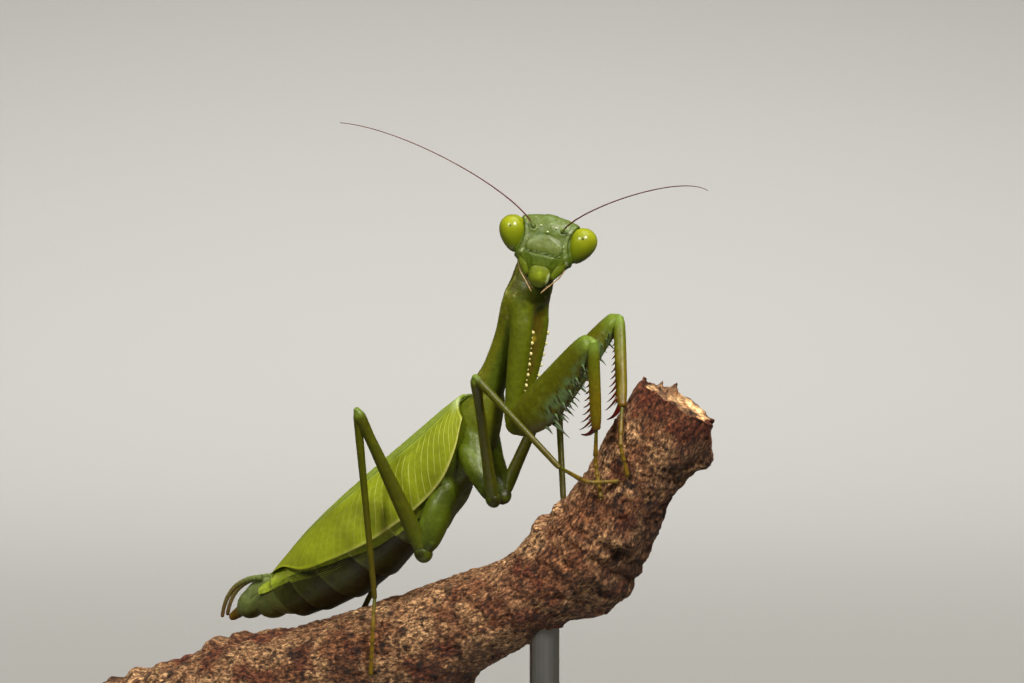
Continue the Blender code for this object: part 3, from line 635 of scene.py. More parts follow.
def head_relief(forward, left, up):
    """How far a head point moves out: the plates, grooves and sockets of the face."""
    face = ramp(forward, 0.2, 0.8)
    gap = eye_distance(forward, left, up)
    move = 0.10 * ramp(on_shield(left, up), -0.1, 0.22) * face
    move -= 0.05 * near(on_shield(left, up), -0.1, 0.14) * face
    move += 0.09 * ramp(on_clypeus(left, up), -0.1, 0.25) * face
    move -= 0.24 * ramp(gap, 0.30, 0.0)
    move += 0.05 * near(gap, 0.36, 0.14)
    move -= 0.04 * near(gap, 0.58, 0.12) * face
    socket = math.hypot(abs(left) - ANTENNA_ROOT[1], up - ANTENNA_ROOT[2])
    move += 0.09 * near(socket, 0.34, 0.2) * face
    move -= 0.08 * ramp(socket, 0.24, 0.08) * face
    move += 0.14 * ramp(math.hypot(left, up - 0.85), 1.3, 0.3) * face
    move -= 0.06 * near(abs(left), 1.15, 0.25) * ramp(up, 1.2, 1.9)
    flank = 0.09 * near(abs(left) - 0.35 * (up + 3.0), 1.75, 0.3) * ramp(up, -1.6, -2.2) * face
    return move + flank


def paint_head(share, turn, point):
    forward, left, up = in_head(point)
    face = ramp(forward, 0.1, 0.7)
    gap = eye_distance(forward, left, up)
    seam_shade = near(on_shield(left, up), 0.0, 0.09) * face
    glint_dots = patches(point, 0.14, 3.0, 0.05, 0.35) * ramp(abs(left), 1.85, 1.6)
    socket = math.hypot(abs(left) - ANTENNA_ROOT[1], up - ANTENNA_ROOT[2])
    return coated(
        HEAD_GREEN,
        (FACE_GREEN, ramp(up, -0.6, -1.9)),
        (FACE_GREEN * 0.8, 0.75 * ramp(forward, 0.3, -0.8)),
        (FACE_GREEN, 0.55 * near(abs(left), 2.3, 0.5) * ramp(up, 0.4, -0.6)),
        (SHIELD_GREEN, ramp(on_shield(left, up), -0.06, 0.12) * face * ramp(up, -1.9, -1.0)),
        (HEAD_GREEN, 0.45 * ramp(on_clypeus(left, up), 0.1, 0.5) * face),
        (LIP_LIME, 0.5 * near(abs(left) - 0.35 * (up + 3.0), 1.75, 0.3) * ramp(up, -1.6, -2.4) * face),
        (LIP_LIME, 0.6 * near(left, 0.0, 0.9) * ramp(up, -2.5, -3.0) * face),
        # Painted shade darkens the shield's seam, the grooves round the eyes and the feelers' sockets.
        (GROOVE_SHADE, 0.4 * seam_shade),
        # A broken pale line along the shield's lower edge: painted glints, a painted highlight.
        (PALE_SPECK_AND_GLINT, near(up, -1.68 - 0.05 * left + 0.06 * mottle(point, 0.5, 2.0), 0.1) * glint_dots * face),
        (GROOVE_SHADE, near(gap, 0.2, 0.14) * 0.65),
        (SHIELD_GREEN, near(gap, 0.5, 0.2) * 0.6 * face),
        (PALE_SPECK_AND_GLINT, near(gap, 0.55, 0.25) * patches(point, 0.3, 8.0, 0.2, 0.45) * face * 0.6),
        (GROOVE_SHADE, 0.5 * near(gap, 0.78, 0.09) * face),
        (GROOVE_SHADE, 0.4 * ramp(socket, 0.25, 0.1) * face),
        (FACE_GREEN, 0.35 * patches(point, 0.9, 5.0, 0.0, 0.6)),
        (FROST_GREEN, 0.45 * patches(point, 0.7, 31.0, 0.0, 0.5) * ramp(up, -1.9, -1.2) * face),
        (PALE_SPECK_AND_GLINT, 0.35 * patches(point, 0.13, 9.0, 0.35, 0.6) * ramp(up, -0.2, 0.4) * face),
        (SHIELD_GREEN, 0.3 * patches(point, 0.25, 9.0, 0.1, 0.5) * ramp(up, -0.5, 0.5)),
    )


def add_head(skin):
    """The head capsule with the relief of its face."""
    table = [(index, *row) for index, row in enumerate(HEAD)]
    sides = 132
    rings = []
    for place in spread(0, len(HEAD) - 1, 76):
        _, up, half_width, face, nape = row_at(table, place)
        ring = []
        for k in range(sides):
            left, forward = oval_point(half_width, face, nape, (face + nape) / 2, k / sides, 2.3)
            out = Vector((forward - (face + nape) / 2, left)).normalized() * head_relief(forward, left, up)
            ring.append(head_point(forward + out.x, left + out.y, up))
        rings.append((place, ring))
    skin.add_rings(rings, paint_head, (0.12, 0.25))


# Rows: height, half width, depth of the front, depth of the back.
LABRUM = (
    (-2.75, 0.82, 1.50, 0.7), (-3.0, 0.95, 1.64, 0.6), (-3.5, 1.06, 1.70, 0.6), (-4.0, 1.10, 1.68, 0.6),
    (-4.5, 0.98, 1.54, 0.6), (-4.92, 0.62, 1.26, 0.7),
)
MANDIBLE = (
    (-3.0, 1.9, 1.0, -0.8), (-3.6, 1.75, 1.05, -0.6), (-4.2, 1.4, 0.95, -0.5), (-4.75, 0.8, 0.7, -0.3),
)


def paint_labrum(share, turn, point):
    forward, left, up = in_head(point)
    return coated(
        LIP_LIME,
        (TERGITE_LIME, 0.6 * near(math.hypot(left, (up + 3.75) * 0.8), 0.0, 0.6)),
        (FACE_GREEN, 0.5 * ramp(up, -3.3, -2.9) * ramp(abs(left), 0.2, 0.7)),
        # One side of the labrum darker along its edge groove: painted shade.
        (FACE_GREEN, 0.5 * ramp(left, -0.6, -0.95)),
        (PALE_SPECK_AND_GLINT, 0.75 * near(left - 0.12 * up, 1.42, 0.17) * ramp(up, -3.4, -3.7)),
        (FACE_GREEN, 0.6 * ramp(up, -4.3, -4.9)),
        (FACE_GREEN, 0.8 * ramp(forward, 1.3, 0.8)),
    )


def paint_mandible(share, turn, point):
    _, left, up = in_head(point)
    return coated(
        FACE_GREEN,
        (LIP_LIME, 0.35 * ramp(abs(left), 1.0, 1.6)),
        (MOUTH_DARK, ramp(up, -3.9, -4.3)),
        # A dark line where the labrum's edge lies over the mandibles: painted shade between the parts.
        (MOUTH_DARK, 0.9 * near(abs(left), 1.12, 0.22) * ramp(up, -3.2, -3.6)),
    )


def slice_rings(rows, count, sides):
    """Level rings of a piece of the head, from a table of heights from top to bottom."""
    table = [(-up, *row) for up, *row in rows]
    rings = []
    for place in spread(table[0][0], table[-1][0], count):
        _, half_width, face, nape = row_at(table, place)
        ring = []
        for k in range(sides):
            left, forward = oval_point(half_width, face, nape, (face + nape) / 2, k / sides, 2.5)
            ring.append(head_point(forward, left, -place))
        rings.append((place, ring))
    return rings


def paint_cheek(share, turn, point):
    return mix(mix(FACE_GREEN, LIP_LIME, 0.55), MOUTH_DARK, ramp(share, 0.88, 1.05))


def add_mouth(skin):
    """The labrum, the mandibles behind it and a rounded ridge down each side of them."""
    skin.add_rings(slice_rings(LABRUM, 26, 48), paint_labrum, (0.08, 0.25))
    skin.add_rings(slice_rings(MANDIBLE, 22, 48), paint_mandible, (0.1, 0.2))
    rows = ((0, 0.45, 0.5, 0.5), (0.4, 0.5, 0.55, 0.55), (0.8, 0.36, 0.4, 0.4), (1, 0.2, 0.25, 0.25))
    for sign in (1, -1):
        start, end = head_point(0.85, 2.0 * sign, -2.3), head_point(1.0, 1.25 * sign, -4.05)
        skin.add_rings(limb_rings(start, end, HEAD_AXES @ LEFT, rows, 24, 24), paint_cheek, (0.25, 0.15))


def prothorax_relief(place, turn):
    """A keel and raised edges along the back, a groove across it and one behind the neck."""
    back = math.sin(2 * math.pi * turn)
    move = 0.10 * near(turn, 0.25, 0.045)
    move += 0.12 * (near(turn, 0.04, 0.035) + near(turn, 0.46, 0.035)) * ramp(place, 0.8, 2.0)
    move -= 0.12 * near(place, 11.3, 0.35) * ramp(back, 0.0, 0.5)
    move += 0.05 * near(place, 11.8, 0.4) * ramp(back, 0.0, 0.5)
    move -= 0.10 * near(place, 1.1, 0.3)
    return move


def paint_prothorax(share, turn, point):
    back = math.sin(2 * math.pi * turn)
    edge = max(near(turn, 0.04, 0.014), near(turn, 0.46, 0.014))
    return coated(
        PRONOTUM_OLIVE,
        # The back browner and darker: painted shade.
        (NECK_BROWN, 0.7 * ramp(back, 0.15, 0.8)),
        (THROAT_GREEN, ramp(back, -0.2, -0.7)),
        (VEIN_PALE, 0.6 * edge),
        (KNEE_GREEN, 0.6 * patches(point, 0.5, 2.0, 0.05, 0.5) * ramp(share, 9.0, 12.0)),
        (NECK_BROWN, 0.5 * patches(point, 0.35, 14.0, 0.1, 0.5) * ramp(share, 8.0, 12.0)),
        (COXA_GREEN, 0.4 * patches(point, 1.8, 4.0, -0.2, 0.6)),
        (BUMP_PALE, 0.6 * patches(point, 0.2, 6.0, 0.45, 0.65) * ramp(share, 6.0, 12.0)),
    )


def edge_turn(place):
    """The share of a turn below the widest level at which the back plates end."""
    _, _, _, bottom, waist = row_at(TRUNK, place)
    edge = row_at(PLATE_EDGE, max(place, PLATE_EDGE[0][0]))[1]
    return math.asin(min(max((waist - edge) / (waist - bottom), -0.95), 0.93)) / (2 * math.pi)


def trunk_relief(place, turn):
    """The core of the abdomen lies a little inside its plates."""
    return -0.14 * ramp(place, 8.0, 9.5)


def paint_chest(share, turn, point):
    height = (point - HINGE).dot(TRUNK_AXIS.up)
    tint = coated(
        CHEST_GREEN,
        (CHEST_DARK, ramp(height, -1.5, -4.5)),
        (PRONOTUM_OLIVE, 0.6 * ramp(share, 2.0, -1.0)),
        (KNEE_GREEN, 0.3 * patches(point, 0.7, 7.0, 0.2, 0.6)),
        (STERNITE_DARK, ramp(share, 9.0, 11.0)),
        (TAIL_GREY, ramp(share, 31.0, 33.0)),
    )
    return mix(tint, tint * 0.7, 0.6 * patches(point, 1.3, 12.0, 0.0, 0.6))


def paint_back_plate(number):
    def paint(along, turn, point):
        return coated(
            TERGITE_LIME,
            (VEIN_PALE, 0.55 * patches(point, 0.9, 1.0 + number, 0.0, 0.5)),
            (TERGITE_GREEN, 0.7 * patches(point, 0.6, 20.0, 0.1, 0.5)),
            (EDGE_PALE, 0.5 * near(along, 1.0, 0.06)),
        )

    return paint


def paint_belly_plate(number):
    def paint(along, turn, point):
        return coated(
            STERNITE_GREEN,
            # Darker at the front, where the plate runs under the one before it: painted shade.
            (STERNITE_DARK, 0.8 * ramp(along, 0.75, 0.15)),
            (TAIL_GREY * 0.7, 0.45 * ramp(along, 0.9, 1.0)),
            (STERNITE_DARK, 0.5 * patches(point, 0.8, 3.0 + number, 0.0, 0.5)),
        )

    return paint


def plate_grid(start, end, turns, lift, rows=26, columns=90):
    """Points of a plate that wraps round the abdomen.

    turns(place, share) gives the turns of its two edges, lift(share) its height over the abdomen.
    """
    grid = []
    for share in spread(0, 1, rows):
        place = start + (end - start) * share
        _, half_width, top, bottom, waist = row_at(TRUNK, place)
        low, high = turns(place, share)
        line = []
        for turn in spread(low, high, columns):
            across, height = oval_point(half_width, top, bottom, waist, turn, 2.1)
            out = Vector((across, height - waist)).normalized() * lift(share)
            line.append(TRUNK_AXIS.at(place, across + out.x, height + out.y))
        grid.append(line)
    return grid


def add_plates(skin):
    """The overlapping back and belly plates of the abdomen, each tucked under the one before it."""

    def lift(share):
        return -0.07 + 0.27 * share**1.8

    def under(share):
        return lift(share) - PLATE_THICKNESS

    def back_turns(place, share):
        edge = edge_turn(place) + 0.012 * share
        return -edge, 0.5 + edge

    def belly_turns(place, share):
        edge = edge_turn(place) - 0.025
        return 0.5 + edge, 1 - edge

    for ends, turns, painter in (
        (BACK_PLATE_ENDS, back_turns, paint_back_plate),
        (BELLY_PLATE_ENDS, belly_turns, paint_belly_plate),
    ):
        for number, (start, end) in enumerate(zip((PLATES_START,) + ends[:-1], ends)):
            outer = plate_grid(start - PLATE_TUCK, end, turns, lift)
            inner = plate_grid(start - PLATE_TUCK, end, turns, under)
            skin.add_sheet(outer, inner, painter(number))


def neck_folds(share, turn):
    return 0.05 * math.sin(share * NECK_FOLDS)


def paint_neck(share, turn, point):
    # The neck's own brown and olive, browner in the grooves between its folds: painted shade.
    return mix(NECK_BROWN, PRONOTUM_OLIVE, 0.4 + 0.4 * math.sin(share * NECK_FOLDS))


def add_trunk(skin):
    """Prothorax, thorax and coxae blended into one, the abdomen with its plates, and the neck."""
    shells = Surface()
    rings = body_rings(PROTHORAX_AXIS, PROTHORAX, 0.4, 16.4, 108, 84, 1.8, prothorax_relief)
    shells.add_rings(rings, paint_prothorax, (0.3, 0.4))
    rings = body_rings(TRUNK_AXIS, TRUNK, -1.4, 11.0, 84, 84, 2.1, trunk_relief)
    shells.add_rings(rings, paint_chest, (0.4, 0.4))
    for leg in LEGS:
        add_coxa(shells, leg)
    skin.add_blend(shells, 0.13, 22)
    rings = body_rings(TRUNK_AXIS, TRUNK, 8.0, 38.6, 120, 72, 2.1, trunk_relief)
    skin.add_rings(rings, paint_chest, (0.4, 0.3))
    add_plates(skin)
    rows = ((0, 1.0, 1.0, 1.0), (0.5, 0.85, 0.85, 0.85), (1, 0.95, 0.95, 0.95))
    front, nape = PROTHORAX_AXIS.at(15.6, 0, -0.1), head_point(-1.0, -0.3, -0.6)
    skin.add_rings(limb_rings(front, nape, -LEFT, rows, 40, 32, neck_folds), paint_neck)


def paint_lobe(share, turn, point):
    tint = mix(TAIL_GREY * 0.8, TAIL_PALE, 0.45 * patches(point, 0.8, 4.0, -0.1, 0.4))
    return mix(tint, TAIL_GREY * 0.7, 0.6 * ramp((point - HINGE).dot(TRUNK_AXIS.up), 0.4, -1.2))


def paint_valve(share, turn, point):
    return mix(TAIL_GREY, VALVE_BROWN, ramp(share, 0.1, 0.6))


def cercus_wave(share):
    """Goes through zero where two joints of a cercus meet."""
    return math.sin(share * CERCUS_JOINTS * math.pi)


def cercus_radius(share):
    return (0.3 - 0.12 * share) * (1 + 0.13 * abs(cercus_wave(share)))


def paint_cercus(share, turn, point):
    tint = mix(mix(TAIL_GREY, CERCUS_BROWN, ramp(share, 0.1, 0.6)), CERCUS_TIP, ramp(share, 0.6, 1.0))
    return mix(tint, tint * 0.6, near(cercus_wave(share), 0.0, 0.35))


def add_tail(skin):
    """The rounded last segment, the ovipositor's valves and the two ringed cerci."""
    axes = Matrix((TRUNK_AXIS.along, LEFT, TRUNK_AXIS.up)).transposed()
    lobes = Surface()
    for place, height, radii in (
        (34.6, -1.3, (2.6, 2.0, 2.0)), (37.7, 0.0, (1.9, 1.45, 1.5)), (36.3, 0.35, (2.4, 1.35, 1.3)),
    ):
        lobes.add_ball(TRUNK_AXIS.at(place, 0, height), radii, axes, paint_lobe, 56, 36)
    for side, sign in SIDES:
        start, end = TRUNK_AXIS.at(38.6, 0.2 * sign, 0.1), TRUNK_AXIS.at(41.0, 0.16 * sign, 0.35)
        rows = ((0, 0.45, 0.6, 0.6), (0.6, 0.36, 0.55, 0.55), (1, 0.26, 0.42, 0.42))
        lobes.add_rings(limb_rings(start, end, -TRUNK_AXIS.up, rows, 20, 24), paint_valve, (0.2, 0.2))
    skin.add_blend(lobes, 0.1, 9)
    for side, sign in SIDES:
        back = CERCUS_SHIFT if side == "left" else 0.0
        handles = [
            TRUNK_AXIS.at(34.3, 1.1 * sign, 1.05),
            TRUNK_AXIS.at(36.6 + back, 1.2 * sign, 2.5 + back * 0.7),
            TRUNK_AXIS.at(39.0 + back, 1.2 * sign, 2.8 + back * 0.7),
            TRUNK_AXIS.at(41.2 + back, 1.1 * sign, 0.7 + back * 0.7),
        ]
        skin.add_rings(tube_rings(bezier(handles, 100), cercus_radius, 16), paint_cercus, (0.1, 0.12))


def leg_joints(leg):
    """The six joints of a leg, from the coxa's root to the toe."""
    pair, side = leg.split("_")
    place, half_spacing, height = COXA_ROOTS[pair]
    axis = PROTHORAX_AXIS if pair == "fore" else TRUNK_AXIS
    joints = [axis.at(place, half_spacing if side == "left" else -half_spacing, height)]
    for length, azimuth, elevation in LEGS[leg]:
        joints.append(joints[-1] + direction(azimuth, elevation) * length)
    return joints


def settled(toe, gap):
    """The toe moved on to the bark."""
    table = branch_line()
    axis = [Vector(row_at(table, place)[1:4]) for place in spread(0, len(table) - 1, 300)]
    nearest = min(axis, key=lambda point: (point - toe).length)
    return toe + (nearest - toe).normalized() * gap


def skin_joints(leg):
    """The joints the skin follows: feet on the bark, the far hind coxa tucked in behind the near one."""
    joints = leg_joints(leg)
    joints[-1] = settled(joints[-1], FOOT_GAPS.get(leg, FOOT_GAP))
    if leg == "hind_left":
        joints[0] += Vector((-2.0, 0, 0.5))
        joints[1] += Vector((-1.3, 0, 0.7))
    return joints


def limb_sides(start, end, lower_side, outer):
    """(along, lower, outward) unit directions of a limb."""
    along = (end - start).normalized()
    lower = square_to(lower_side, along)
    across = along.cross(lower)
    return along, lower, -across if across.dot(outer) < 0 else across


def coxa_relief(share, turn):
    ridge = 0.07 * near(turn, 0.25, 0.06) - 0.05 * near(turn, 0.02, 0.05) - 0.05 * near(turn, 0.48, 0.05)
    return ridge * ramp(share, 0.0, 0.1) * ramp(share, 1.0, 0.85)


def paint_fore_coxa(side):
    """Green outside. The inner face of the far coxa is browner, with the yellow eye spot."""
    root, hip, knee = leg_joints(f"fore_{side}")[:3]
    _, lower, across = limb_sides(root, hip, knee - hip, LEFT if side == "left" else -LEFT)

    def paint(share, turn, point):
        inward = -(point - root.lerp(hip, min(max(share, 0.0), 1.0))).dot(across)
        spot = root.lerp(hip, 0.26) - across * 0.95 + lower * 0.35
        return coated(
            COXA_GREEN,
            # The hind face darker: painted shade.
            (COXA_SHADE, 0.7 * near(turn, 0.75, 0.2)),
            (FEMUR_BROWN * 1.2, 0.85 * ramp(inward, 0.25, 0.75)),
            (COXA_GREEN * 1.2, 0.5 * patches(point, 1.4, 3.0, 0.0, 0.5)),
            (KNEE_GREEN, 0.35 * ramp(share, 0.2, 0.0) * patches(point, 0.5, 6.0, 0.0, 0.4)),
            (SPOT_YELLOW, ramp((point - spot).length, 0.45, 0.2)),
        )

    return paint


def paint_walk_coxa(share, turn, point):
    return coated(
        HAUNCH_GREEN,
        (HAUNCH_SHADE, ramp(share, 0.25, 0.9)),
        (KNEE_GREEN, 0.35 * patches(point, 0.9, 3.0, 0.1, 0.5)),
        (HAUNCH_DARK, 0.6 * ramp(share, 0.75, 1.0)),
    )


def paint_joint(share, turn, point):
    return mix(HIP_GREEN, HIP_DARK, patches(point, 0.8, 3.0, -0.3, 0.4))


def femur_relief(pair):
    def relief(share, turn):
        lobes = 0.12 * near(share, 0.95, 0.05) * (near(turn, 0.08, 0.12) + near(turn, 0.42, 0.12))
        keel = -0.05 * near(turn, 0.12, 0.05) - 0.05 * near(turn, 0.38, 0.05)
        if pair == "fore":
            keel = -0.07 * near(turn, 0.04, 0.06) * ramp(share, 0.2, 0.5)
        return lobes + keel * ramp(share, 0.05, 0.2) * ramp(share, 0.95, 0.8)

    return relief


def paint_fore(part):
    def femur(share, turn, point):
        patch = ramp(abs(turn - 0.25), 0.21, 0.14) * ramp(share, 0.28, 0.4) * ramp(share, 0.95, 0.85)
        return coated(
            FEMUR_OLIVE,
            (COXA_GREEN, 0.8 * near(turn, 0.75, 0.2)),
            (FEMUR_BROWN, 0.5 * near(turn, 0.25, 0.2) * ramp(share, 0.9, 0.3)),
            (KNEE_GREEN, 0.75 * ramp(share, 0.84, 0.97)),
            (SPINE_GREEN, 0.75 * patch * patches(point, 0.6, 2.0, -0.35, 0.2)),
            (SPINE_DARK, patch * patches(point, 0.26, 12.0, 0.3, 0.42)),
            (KNEE_GREEN, 0.3 * patches(point, 0.5, 3.0, 0.3, 0.6)),
        )

    def tibia(share, turn, point):
        return coated(
            KNEE_GREEN,
            (TIBIA_OLIVE, ramp(share, 0.0, 0.2)),
            (TIBIA_ORANGE, ramp(share, 0.15, 0.7) * (0.35 + 0.65 * near(turn, 0.25, 0.25))),
            (CLAW_RED, 0.5 * ramp(share, 0.85, 1.05)),
        )

    return {"femur": femur, "tibia": tibia}[part]


def paint_walk(pair, part):
    dark = {"mid": mix(WALK_BROWN, WALK_OLIVE, 0.8) * 1.15, "hind": WALK_OLIVE}[pair]

    def femur(share, turn, point):
        tint = mix(WALK_GREEN, dark, ramp(share, 0.02, 0.3))
        tint = mix(tint, KNEE_GREEN, 0.7 * ramp(share, 0.94, 1.0))
        return mix(tint, tint * 1.4, 0.6 * patches(point, 1.0, 3.0, 0.1, 0.6))

    def tibia(share, turn, point):
        tint = mix(KNEE_GREEN * 0.8, WALK_OLIVE * 1.15, ramp(share, 0.0, 0.06))
        tint = mix(tint, WALK_BROWN * 1.15, 0.8 * ramp(share, 0.3, 1.0))
        return mix(tint, tint * 1.3, 0.5 * patches(point, 1.1, 3.0, 0.1, 0.6))

    return {"femur": femur, "tibia": tibia}[part]


def paint_tarsus(share, turn, point):
    place = (share * TARSUS_JOINTS) % 1.0
    bands = near(place, 0.0, 0.16) + near(place, 1.0, 0.16)
    return mix(mix(WALK_OLIVE * 1.3, TARSUS_OLIVE, ramp(share, 0.0, 0.3)), WALK_BROWN * 0.7, 0.7 * bands)


def tarsus_radius(share):
    """Five joints, the first much the longest, each wider at its far end."""
    ends = (0.0, 0.42, 0.58, 0.7, 0.8, 1.001)
    number = bisect_right(ends, min(max(share, 0.0), 1.0)) - 1
    part = (share - ends[number]) / (ends[number + 1] - ends[number])
    return TARSUS_RADIUS * (0.72 + 0.36 * part**2)


def add_coxa(shells, leg):
    """A coxa and the shoulder that joins it to the body."""
    pair, side = leg.split("_")
    root, hip, knee = skin_joints(leg)[:3]
    rows = LIMBS[f"{pair}_coxa"]
    paint = paint_fore_coxa(side) if pair == "fore" else paint_walk_coxa
    shells.add_rings(limb_rings(root, hip, knee - hip, rows, 70, 48, coxa_relief), paint, (0.6, 0.4))
    place, inward, height, width = SHOULDERS[pair]
    axis = PROTHORAX_AXIS if pair == "fore" else TRUNK_AXIS
    spacing = COXA_ROOTS[pair][1] * inward * (1 if side == "left" else -1)
    start = axis.at(place, spacing, height)
    end = root.lerp(hip, 0.42 if pair == "fore" else 0.6)
    slim = row_at(rows, 0.5)[1] * 0.96
    half = (width + slim) / 2
    shoulder = ((0, width * 0.75, width, width), (0.4, half, half, half), (1, slim, slim, slim))
    shells.add_rings(
        limb_rings(start, end, knee - hip, shoulder, 40, 40),
        lambda share, turn, point: paint(0.3 * share, turn, point),
        (width * 0.5, slim * 0.5),
    )


def add_leg(skin, leg):
    """Trochanter, femur, tibia and tarsus of one leg as overlapping shells."""
    pair = leg.split("_")[0]
    root, hip, knee, ankle, instep, toe = skin_joints(leg)
    for part, start, end, lower_side, count, sides in (
        ("femur", hip, knee, ankle - knee, 76, 36),
        ("tibia", knee, ankle, hip - knee, 66, 24),
    ):
        rows = LIMBS[f"{pair}_{part}"]
        relief = femur_relief(pair) if part == "femur" else None
        paint = paint_fore(part) if pair == "fore" else paint_walk(pair, part)
        depth = min(rows[0][1], rows[-1][1]) * 0.8
        skin.add_rings(limb_rings(start, end, lower_side, rows, count, sides, relief), paint, (depth, depth))
    if pair != "fore":
        along = (knee - hip).normalized()
        axes = axes_of(along, square_to(hip - root, along))
        centre = hip + (hip - root).normalized() * 0.1
        reach = 0.85 if pair == "mid" else 0.95
        skin.add_ball(centre, (reach * 1.1, reach, reach * 0.9), axes, paint_joint)
    path = smooth_path([ankle, instep, toe], 80)
    skin.add_rings(tube_rings(path, tarsus_radius, 12), paint_tarsus, (0.1, 0.12))


def build_skin():
    skin = Surface()
    add_head(skin)
    add_mouth(skin)
    add_trunk(skin)
    add_tail(skin)
    for leg in LEGS:
        add_leg(skin, leg)
    thing = skin.make("skin", skin_material())
    flesh = ["head", "labrum", "mandibles", "neck", "prothorax", "thorax", "tail_plate"]
    flesh += [f"abdomen_{number}" for number in (1, 2, 3)]
    flesh += [f"cercus_{side}" for side, _ in SIDES]
    flesh += [f"{part}_{leg}" for part in ("coxa", "femur", "tibia", "tarsus") for leg in LEGS]
    present(thing, flesh)


def present(thing, nodes=()):
    """Puts a piece on the one body and hides the solids it stands in for."""
    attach(thing, "root")
    if nodes:
        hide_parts(*nodes)


# --- eyes, feelers and mouth --------------------------------------------------------------------------------


def build_eyes():
    for side, sign in SIDES:
        forward, left, up = EYE_CENTRE
        centre = head_point(forward, left * sign, up)
        axes = HEAD_AXES @ Matrix.Rotation(math.radians(-EYE_TILT * sign), 3, "X")
        ball = Surface()
        pupil = Vector((0.97, -0.05, 0.42)).normalized()

        def paint(share, turn, point):
            local = axes.transposed() @ (point - centre)
            unit = Vector(local[i] / EYE_RADII[i] for i in range(3)).normalized()
            return coated(
                EYE_LOW,
                (EYE_TOP, ramp(unit.z, -0.5, 0.8)),
                (EYE_LOW * 0.8, 0.6 * ramp(unit.z, -0.3, -0.95)),
                (EYE_TOP, 0.35 * ramp(unit.x, 0.2, 0.9)),
                (PUPIL_DARK, ramp((unit - pupil).length, 0.075, 0.045)),
            )

        def placed(unit):
            taper = 1 + EYE_TAPER * unit.z
            sizes = (EYE_RADII[0] * taper, EYE_RADII[1] * taper, EYE_RADII[2])
            return centre + axes @ Vector(unit[i] * sizes[i] for i in range(3))

        ball.add_rings(ball_rings(72, 112, placed), paint)
        present(ball.make(f"eyeball_{side}", eye_material()), [f"eye_{side}"])


def build_ocelli():
    """Three simple eyes between the feelers."""
    beads = Surface()
    for left, up, forward in ((-0.72, 1.02, 1.27), (0.78, 1.02, 1.27), (0.05, 0.5, 1.5)):
        centre = head_point(forward, left, up)
        beads.add_ball(centre, (0.12, 0.12, 0.10), HEAD_AXES, lambda share, turn, point: PALE_SPECK_AND_GLINT)
    present(beads.make("ocelli", eye_material()))


def feeler_radius(share):
    if share < 0.02:
        return 0.15
    if share < 0.035:
        return 0.12
    return (0.08 - 0.045 * share) * (1 + 0.12 * math.sin(share * FEELER_WAVES))


def paint_feeler(share, turn, point):
    # Own brown, partly reddened by painted light shining through.
    root = mix(HEAD_GREEN * 1.2, FEELER_BROWN, ramp(share, 0.02, 0.08))
    return mix(root, FEELER_BROWN * 1.3, share)


def build_feelers():
    """Long jointed feelers on two thicker joints each."""
    for side, sign in SIDES:
        forward, left, up = ANTENNA_ROOT
        root = head_point(forward, left * sign, up)
        offsets = [Vector(offset) for offset in ANTENNA_CURVES[side]]
        shift = head_point(1.8, 1.5 * sign, 0.85) - root
        handles = [root] + [root + shift + offset for offset in offsets]
        feeler = Surface()
        feeler.add_rings(tube_rings(bezier(handles, 420), feeler_radius, 10), paint_feeler, (0.05, 0.03))
        present(feeler.make(f"feeler_{side}", horn_material()), [f"antenna_{side}"])


def palp_radius(size):
    """The radius along a palp, which narrows where two joints meet and at the tip."""

    def radius_at(share):
        return size * (1 + 0.18 * abs(math.sin(share * PALP_JOINTS * math.pi)) - 0.3 * ramp(share, 0.9, 1.0))

    return radius_at


def paint_palp(share, turn, point):
    return mix(PALP_TAN, PALP_BAND, near((share * PALP_JOINTS) % 1.0, 0.0, 0.2))


def build_palps():
    """The maxillary and labial palps, thin and jointed, below the mouth."""
    palps = Surface()
    nodes = []
    for side, sign in SIDES:
        nodes.append(f"palp_{side}")
        long_one = [
            head_point(0.75, 2.35 * sign, -3.0),
            head_point(0.95, 1.95 * sign, -3.9),
            head_point(1.1, 1.2 * sign, -4.75),
            head_point(1.05, 0.5 * sign, -5.6),
        ]
        short_one = [
            head_point(0.3, 1.1 * sign, -4.3),
            head_point(0.45, 0.9 * sign, -4.9),
            head_point(0.45, 0.45 * sign, -5.3),
        ]
        for path, size in ((long_one, 0.062), (short_one, 0.055)):
            rings = tube_rings(smooth_path(path, 70, 0.35), palp_radius(size), 12)
            palps.add_rings(rings, paint_palp, (0.04, 0.05))
    present(palps.make("palps", skin_material()), nodes)


# --- wings --------------------------------------------------------------------------------------------------


def tegmen_point(place, share, sign, grow):
    """A point of a fore wing's outer face: share runs from the ridge (0) round to the lower edge (1)."""
    _, ridge, edge = row_at(TEGMEN, place)
    _, half_width, _, bottom, waist = row_at(TRUNK, place)
    standoff = TEGMEN_STANDOFF * (1 - 0.5 * ramp(place, 27.0, 32.7))
    bulge = half_width + standoff + grow
    rise, fall = ridge + grow - waist, waist - bottom + standoff + grow
    drop = edge - grow - waist
    last = math.asin(min(drop / (rise if drop > 0 else fall), 0.97))
    first = math.acos(0.25 / bulge)
    angle = first + (last - first) * share
    height = waist + math.sin(angle) * (rise if angle > 0 else fall)
    return TRUNK_AXIS.at(place, bulge * math.cos(angle) * sign, height)


# Lengthwise veins: share of the width at the root, at mid length and at the tip, and strength.
LONG_VEINS = (
    (0.22, 0.17, 0.12, 0.7), (0.29, 0.24, 0.20, 0.9), (0.36, 0.31, 0.28, 0.9), (0.42, 0.37, 0.36, 0.9),
    (0.49, 0.44, 0.45, 1.0), (0.58, 0.58, 0.66, 0.3), (0.70, 0.73, 0.87, 0.25),
)
MAIN_VEIN = LONG_VEINS[4]


